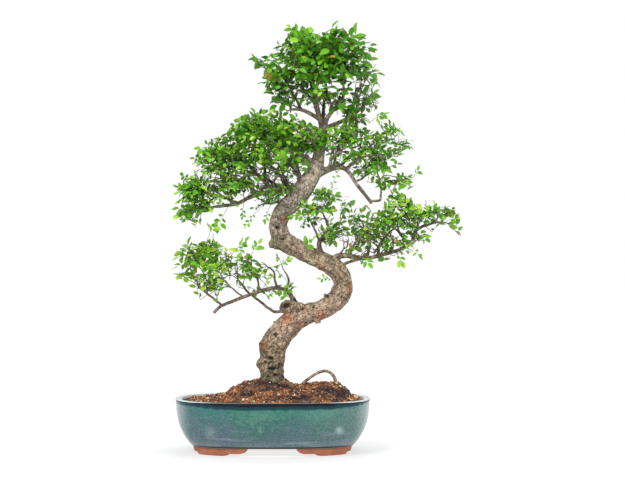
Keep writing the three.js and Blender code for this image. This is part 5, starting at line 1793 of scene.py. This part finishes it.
class BONSAI_OT_stage(bpy.types.Operator):
    """Set the camera, the soft lights, the white surroundings and the floor"""

    bl_idname = "bonsai.stage"
    bl_label = "Stage"

    def execute(self, context):
        values = settings().stage
        scene = context.scene
        data = bpy.data.cameras.new("camera")
        data.lens = LENS
        data.sensor_width = 36.0
        data.clip_end = 60.0
        camera = bpy.data.objects.new("camera", data)
        camera.location = CAMERA_PLACE
        camera.rotation_euler = (math.pi / 2 + CAMERA_TILT, 0.0, 0.0)
        scene.collection.objects.link(camera)
        scene.camera = camera
        scene.world = scene.world or bpy.data.worlds.new("surroundings")
        surroundings_nodes(scene.world, values)
        for name, place, aim, size in LIGHTS:
            lamp(name, place, aim, size, getattr(values, name))
        corners = [(-FLOOR, -FLOOR, 0), (FLOOR, -FLOOR, 0), (FLOOR, FLOOR, 0), (-FLOOR, FLOOR, 0)]
        floor = new_piece("floor", corners, [(0, 1, 2, 3)], floor_material(values.floor_glow))
        scene.view_settings.view_transform = "Standard"
        scene.view_settings.look = "None"
        return {"FINISHED"}


# --- Settings and panel -------------------------------------------------------------------------


def colour_value(name, description, colour):
    return bpy.props.FloatVectorProperty(
        name=name, description=description, subtype="COLOR", size=3, min=0.0, max=1.0,
        default=paint(*colour)[:3])


def number_value(name, description, default, unit="NONE"):
    return bpy.props.FloatProperty(name=name, description=description, default=default, unit=unit)


def length_value(name, description, default):
    return bpy.props.FloatProperty(
        name=name, description=description, default=default, unit="LENGTH", precision=4)


def whole_value(name, description, default):
    return bpy.props.IntProperty(name=name, description=description, default=default)


def group_value(group, name, description):
    return bpy.props.PointerProperty(type=group, name=name, description=description)


class PotValues(bpy.types.PropertyGroup):
    # the glaze blue is also the colour of the painted reflection low at the left
    glaze_blue: colour_value("Glaze blue", "Greyer blue where the glaze ran thick", (86, 104, 118))
    glaze_green: colour_value("Glaze green", "Brighter green in the upper half", (78, 121, 105))
    band: colour_value("Band", "Deep band under the lip", (0, 8, 14))
    # the lip colour is thin glaze with a painted reflection on it
    lip: colour_value("Lip", "Thin glaze over the lip", (224, 232, 234))
    clay: colour_value("Clay", "Bare clay of the feet", (168, 102, 74))
    screen_bars: whole_value("Screen bars", "Bars each way in a drain screen", 17)


class SoilValues(bpy.types.PropertyGroup):
    brown: colour_value("Brown", "Orange brown of most of the soil", (146, 91, 52))
    dark: colour_value("Dark", "Darker clods", (46, 32, 34))
    granules_per_square_metre: number_value("Granules", "Granules strewn on a square metre", 76000.0)
    smallest_granule: length_value("Smallest granule", "Width of the smallest granule", 0.0018)
    largest_granule: length_value("Largest granule", "Width of the largest granule", 0.0062)
    seed: whole_value("Seed", "Another number lays the granules anew", 5)


class BarkValues(bpy.types.PropertyGroup):
    dark: colour_value("Dark", "Darkest bark", (80, 64, 51))
    pale: colour_value("Pale", "Palest bark", (206, 190, 166))
    rust: colour_value("Rust", "Patches where flakes fell", (178, 106, 66))
    skin_voxel: length_value("Skin detail", "Size of the smallest form in the trunk's skin", 0.0017)
    relief: number_value("Relief", "Depth of the bark's relief", 1.0)


class LeafValues(bpy.types.PropertyGroup):
    deep: colour_value("Deep", "Leaves in the shade", (14, 50, 4))
    young: colour_value("Young", "Leaves at the tips", (164, 200, 64))
    density: number_value("Density", "Share of the shoots that grow", 1.0)
    size: number_value("Size", "Size of the leaves beside their length", 1.0)


class StageValues(bpy.types.PropertyGroup):
    surroundings: number_value("Surroundings", "Light from all round", 0.62)
    mirrored: number_value("Mirrored", "Brightness of the surroundings as gloss mirrors them", 0.22)
    floor_glow: number_value("Floor glow", "Light the floor gives off", 0.9)
    key_light: number_value("Key light", "Large light at the upper left", 95.0, "POWER")
    fill_light: number_value("Fill light", "Light from the right", 30.0, "POWER")
    top_light: number_value("Top light", "Light from above", 50.0, "POWER")


class BonsaiValues(bpy.types.PropertyGroup):
    pot: group_value(PotValues, "Pot", "Colours of the pot")
    soil: group_value(SoilValues, "Soil", "Colours and granules of the soil")
    bark: group_value(BarkValues, "Bark", "Colours and relief of the bark")
    leaves: group_value(LeafValues, "Leaves", "Colours and number of leaves")
    stage: group_value(StageValues, "Stage", "Light around the tree")


OPERATORS = (BONSAI_OT_stage, BONSAI_OT_pot, BONSAI_OT_screens, BONSAI_OT_soil, BONSAI_OT_trunk,
             BONSAI_OT_foliage)


class BONSAI_PT_panel(bpy.types.Panel):
    """Lists the makers and their values"""

    bl_idname = "BONSAI_PT_panel"
    bl_label = "Zelkova Bonsai"
    bl_space_type = "VIEW_3D"
    bl_region_type = "UI"
    bl_category = "Bonsai"

    def draw(self, context):
        for operator in OPERATORS:
            self.layout.operator(operator.bl_idname)
        for name in ("pot", "soil", "bark", "leaves", "stage"):
            group = getattr(context.scene.zelkova_bonsai, name)
            box = self.layout.box()
            box.label(text=name.capitalize())
            for key in group.__annotations__:
                box.prop(group, key)


CLASSES = (PotValues, SoilValues, BarkValues, LeafValues, StageValues, BonsaiValues, *OPERATORS,
           BONSAI_PT_panel)


def register():
    for item in CLASSES:
        bpy.utils.register_class(item)
    bpy.types.Scene.zelkova_bonsai = bpy.props.PointerProperty(type=BonsaiValues)


def unregister():
    del bpy.types.Scene.zelkova_bonsai
    for item in reversed(CLASSES):
        bpy.utils.unregister_class(item)


def main():
    register()
    bpy.ops.bonsai.stage()
    bpy.ops.bonsai.pot()
    bpy.ops.bonsai.screens()
    bpy.ops.bonsai.soil()
    bpy.ops.bonsai.trunk()
    bpy.ops.bonsai.foliage()


if __name__ == "__main__":
    main()
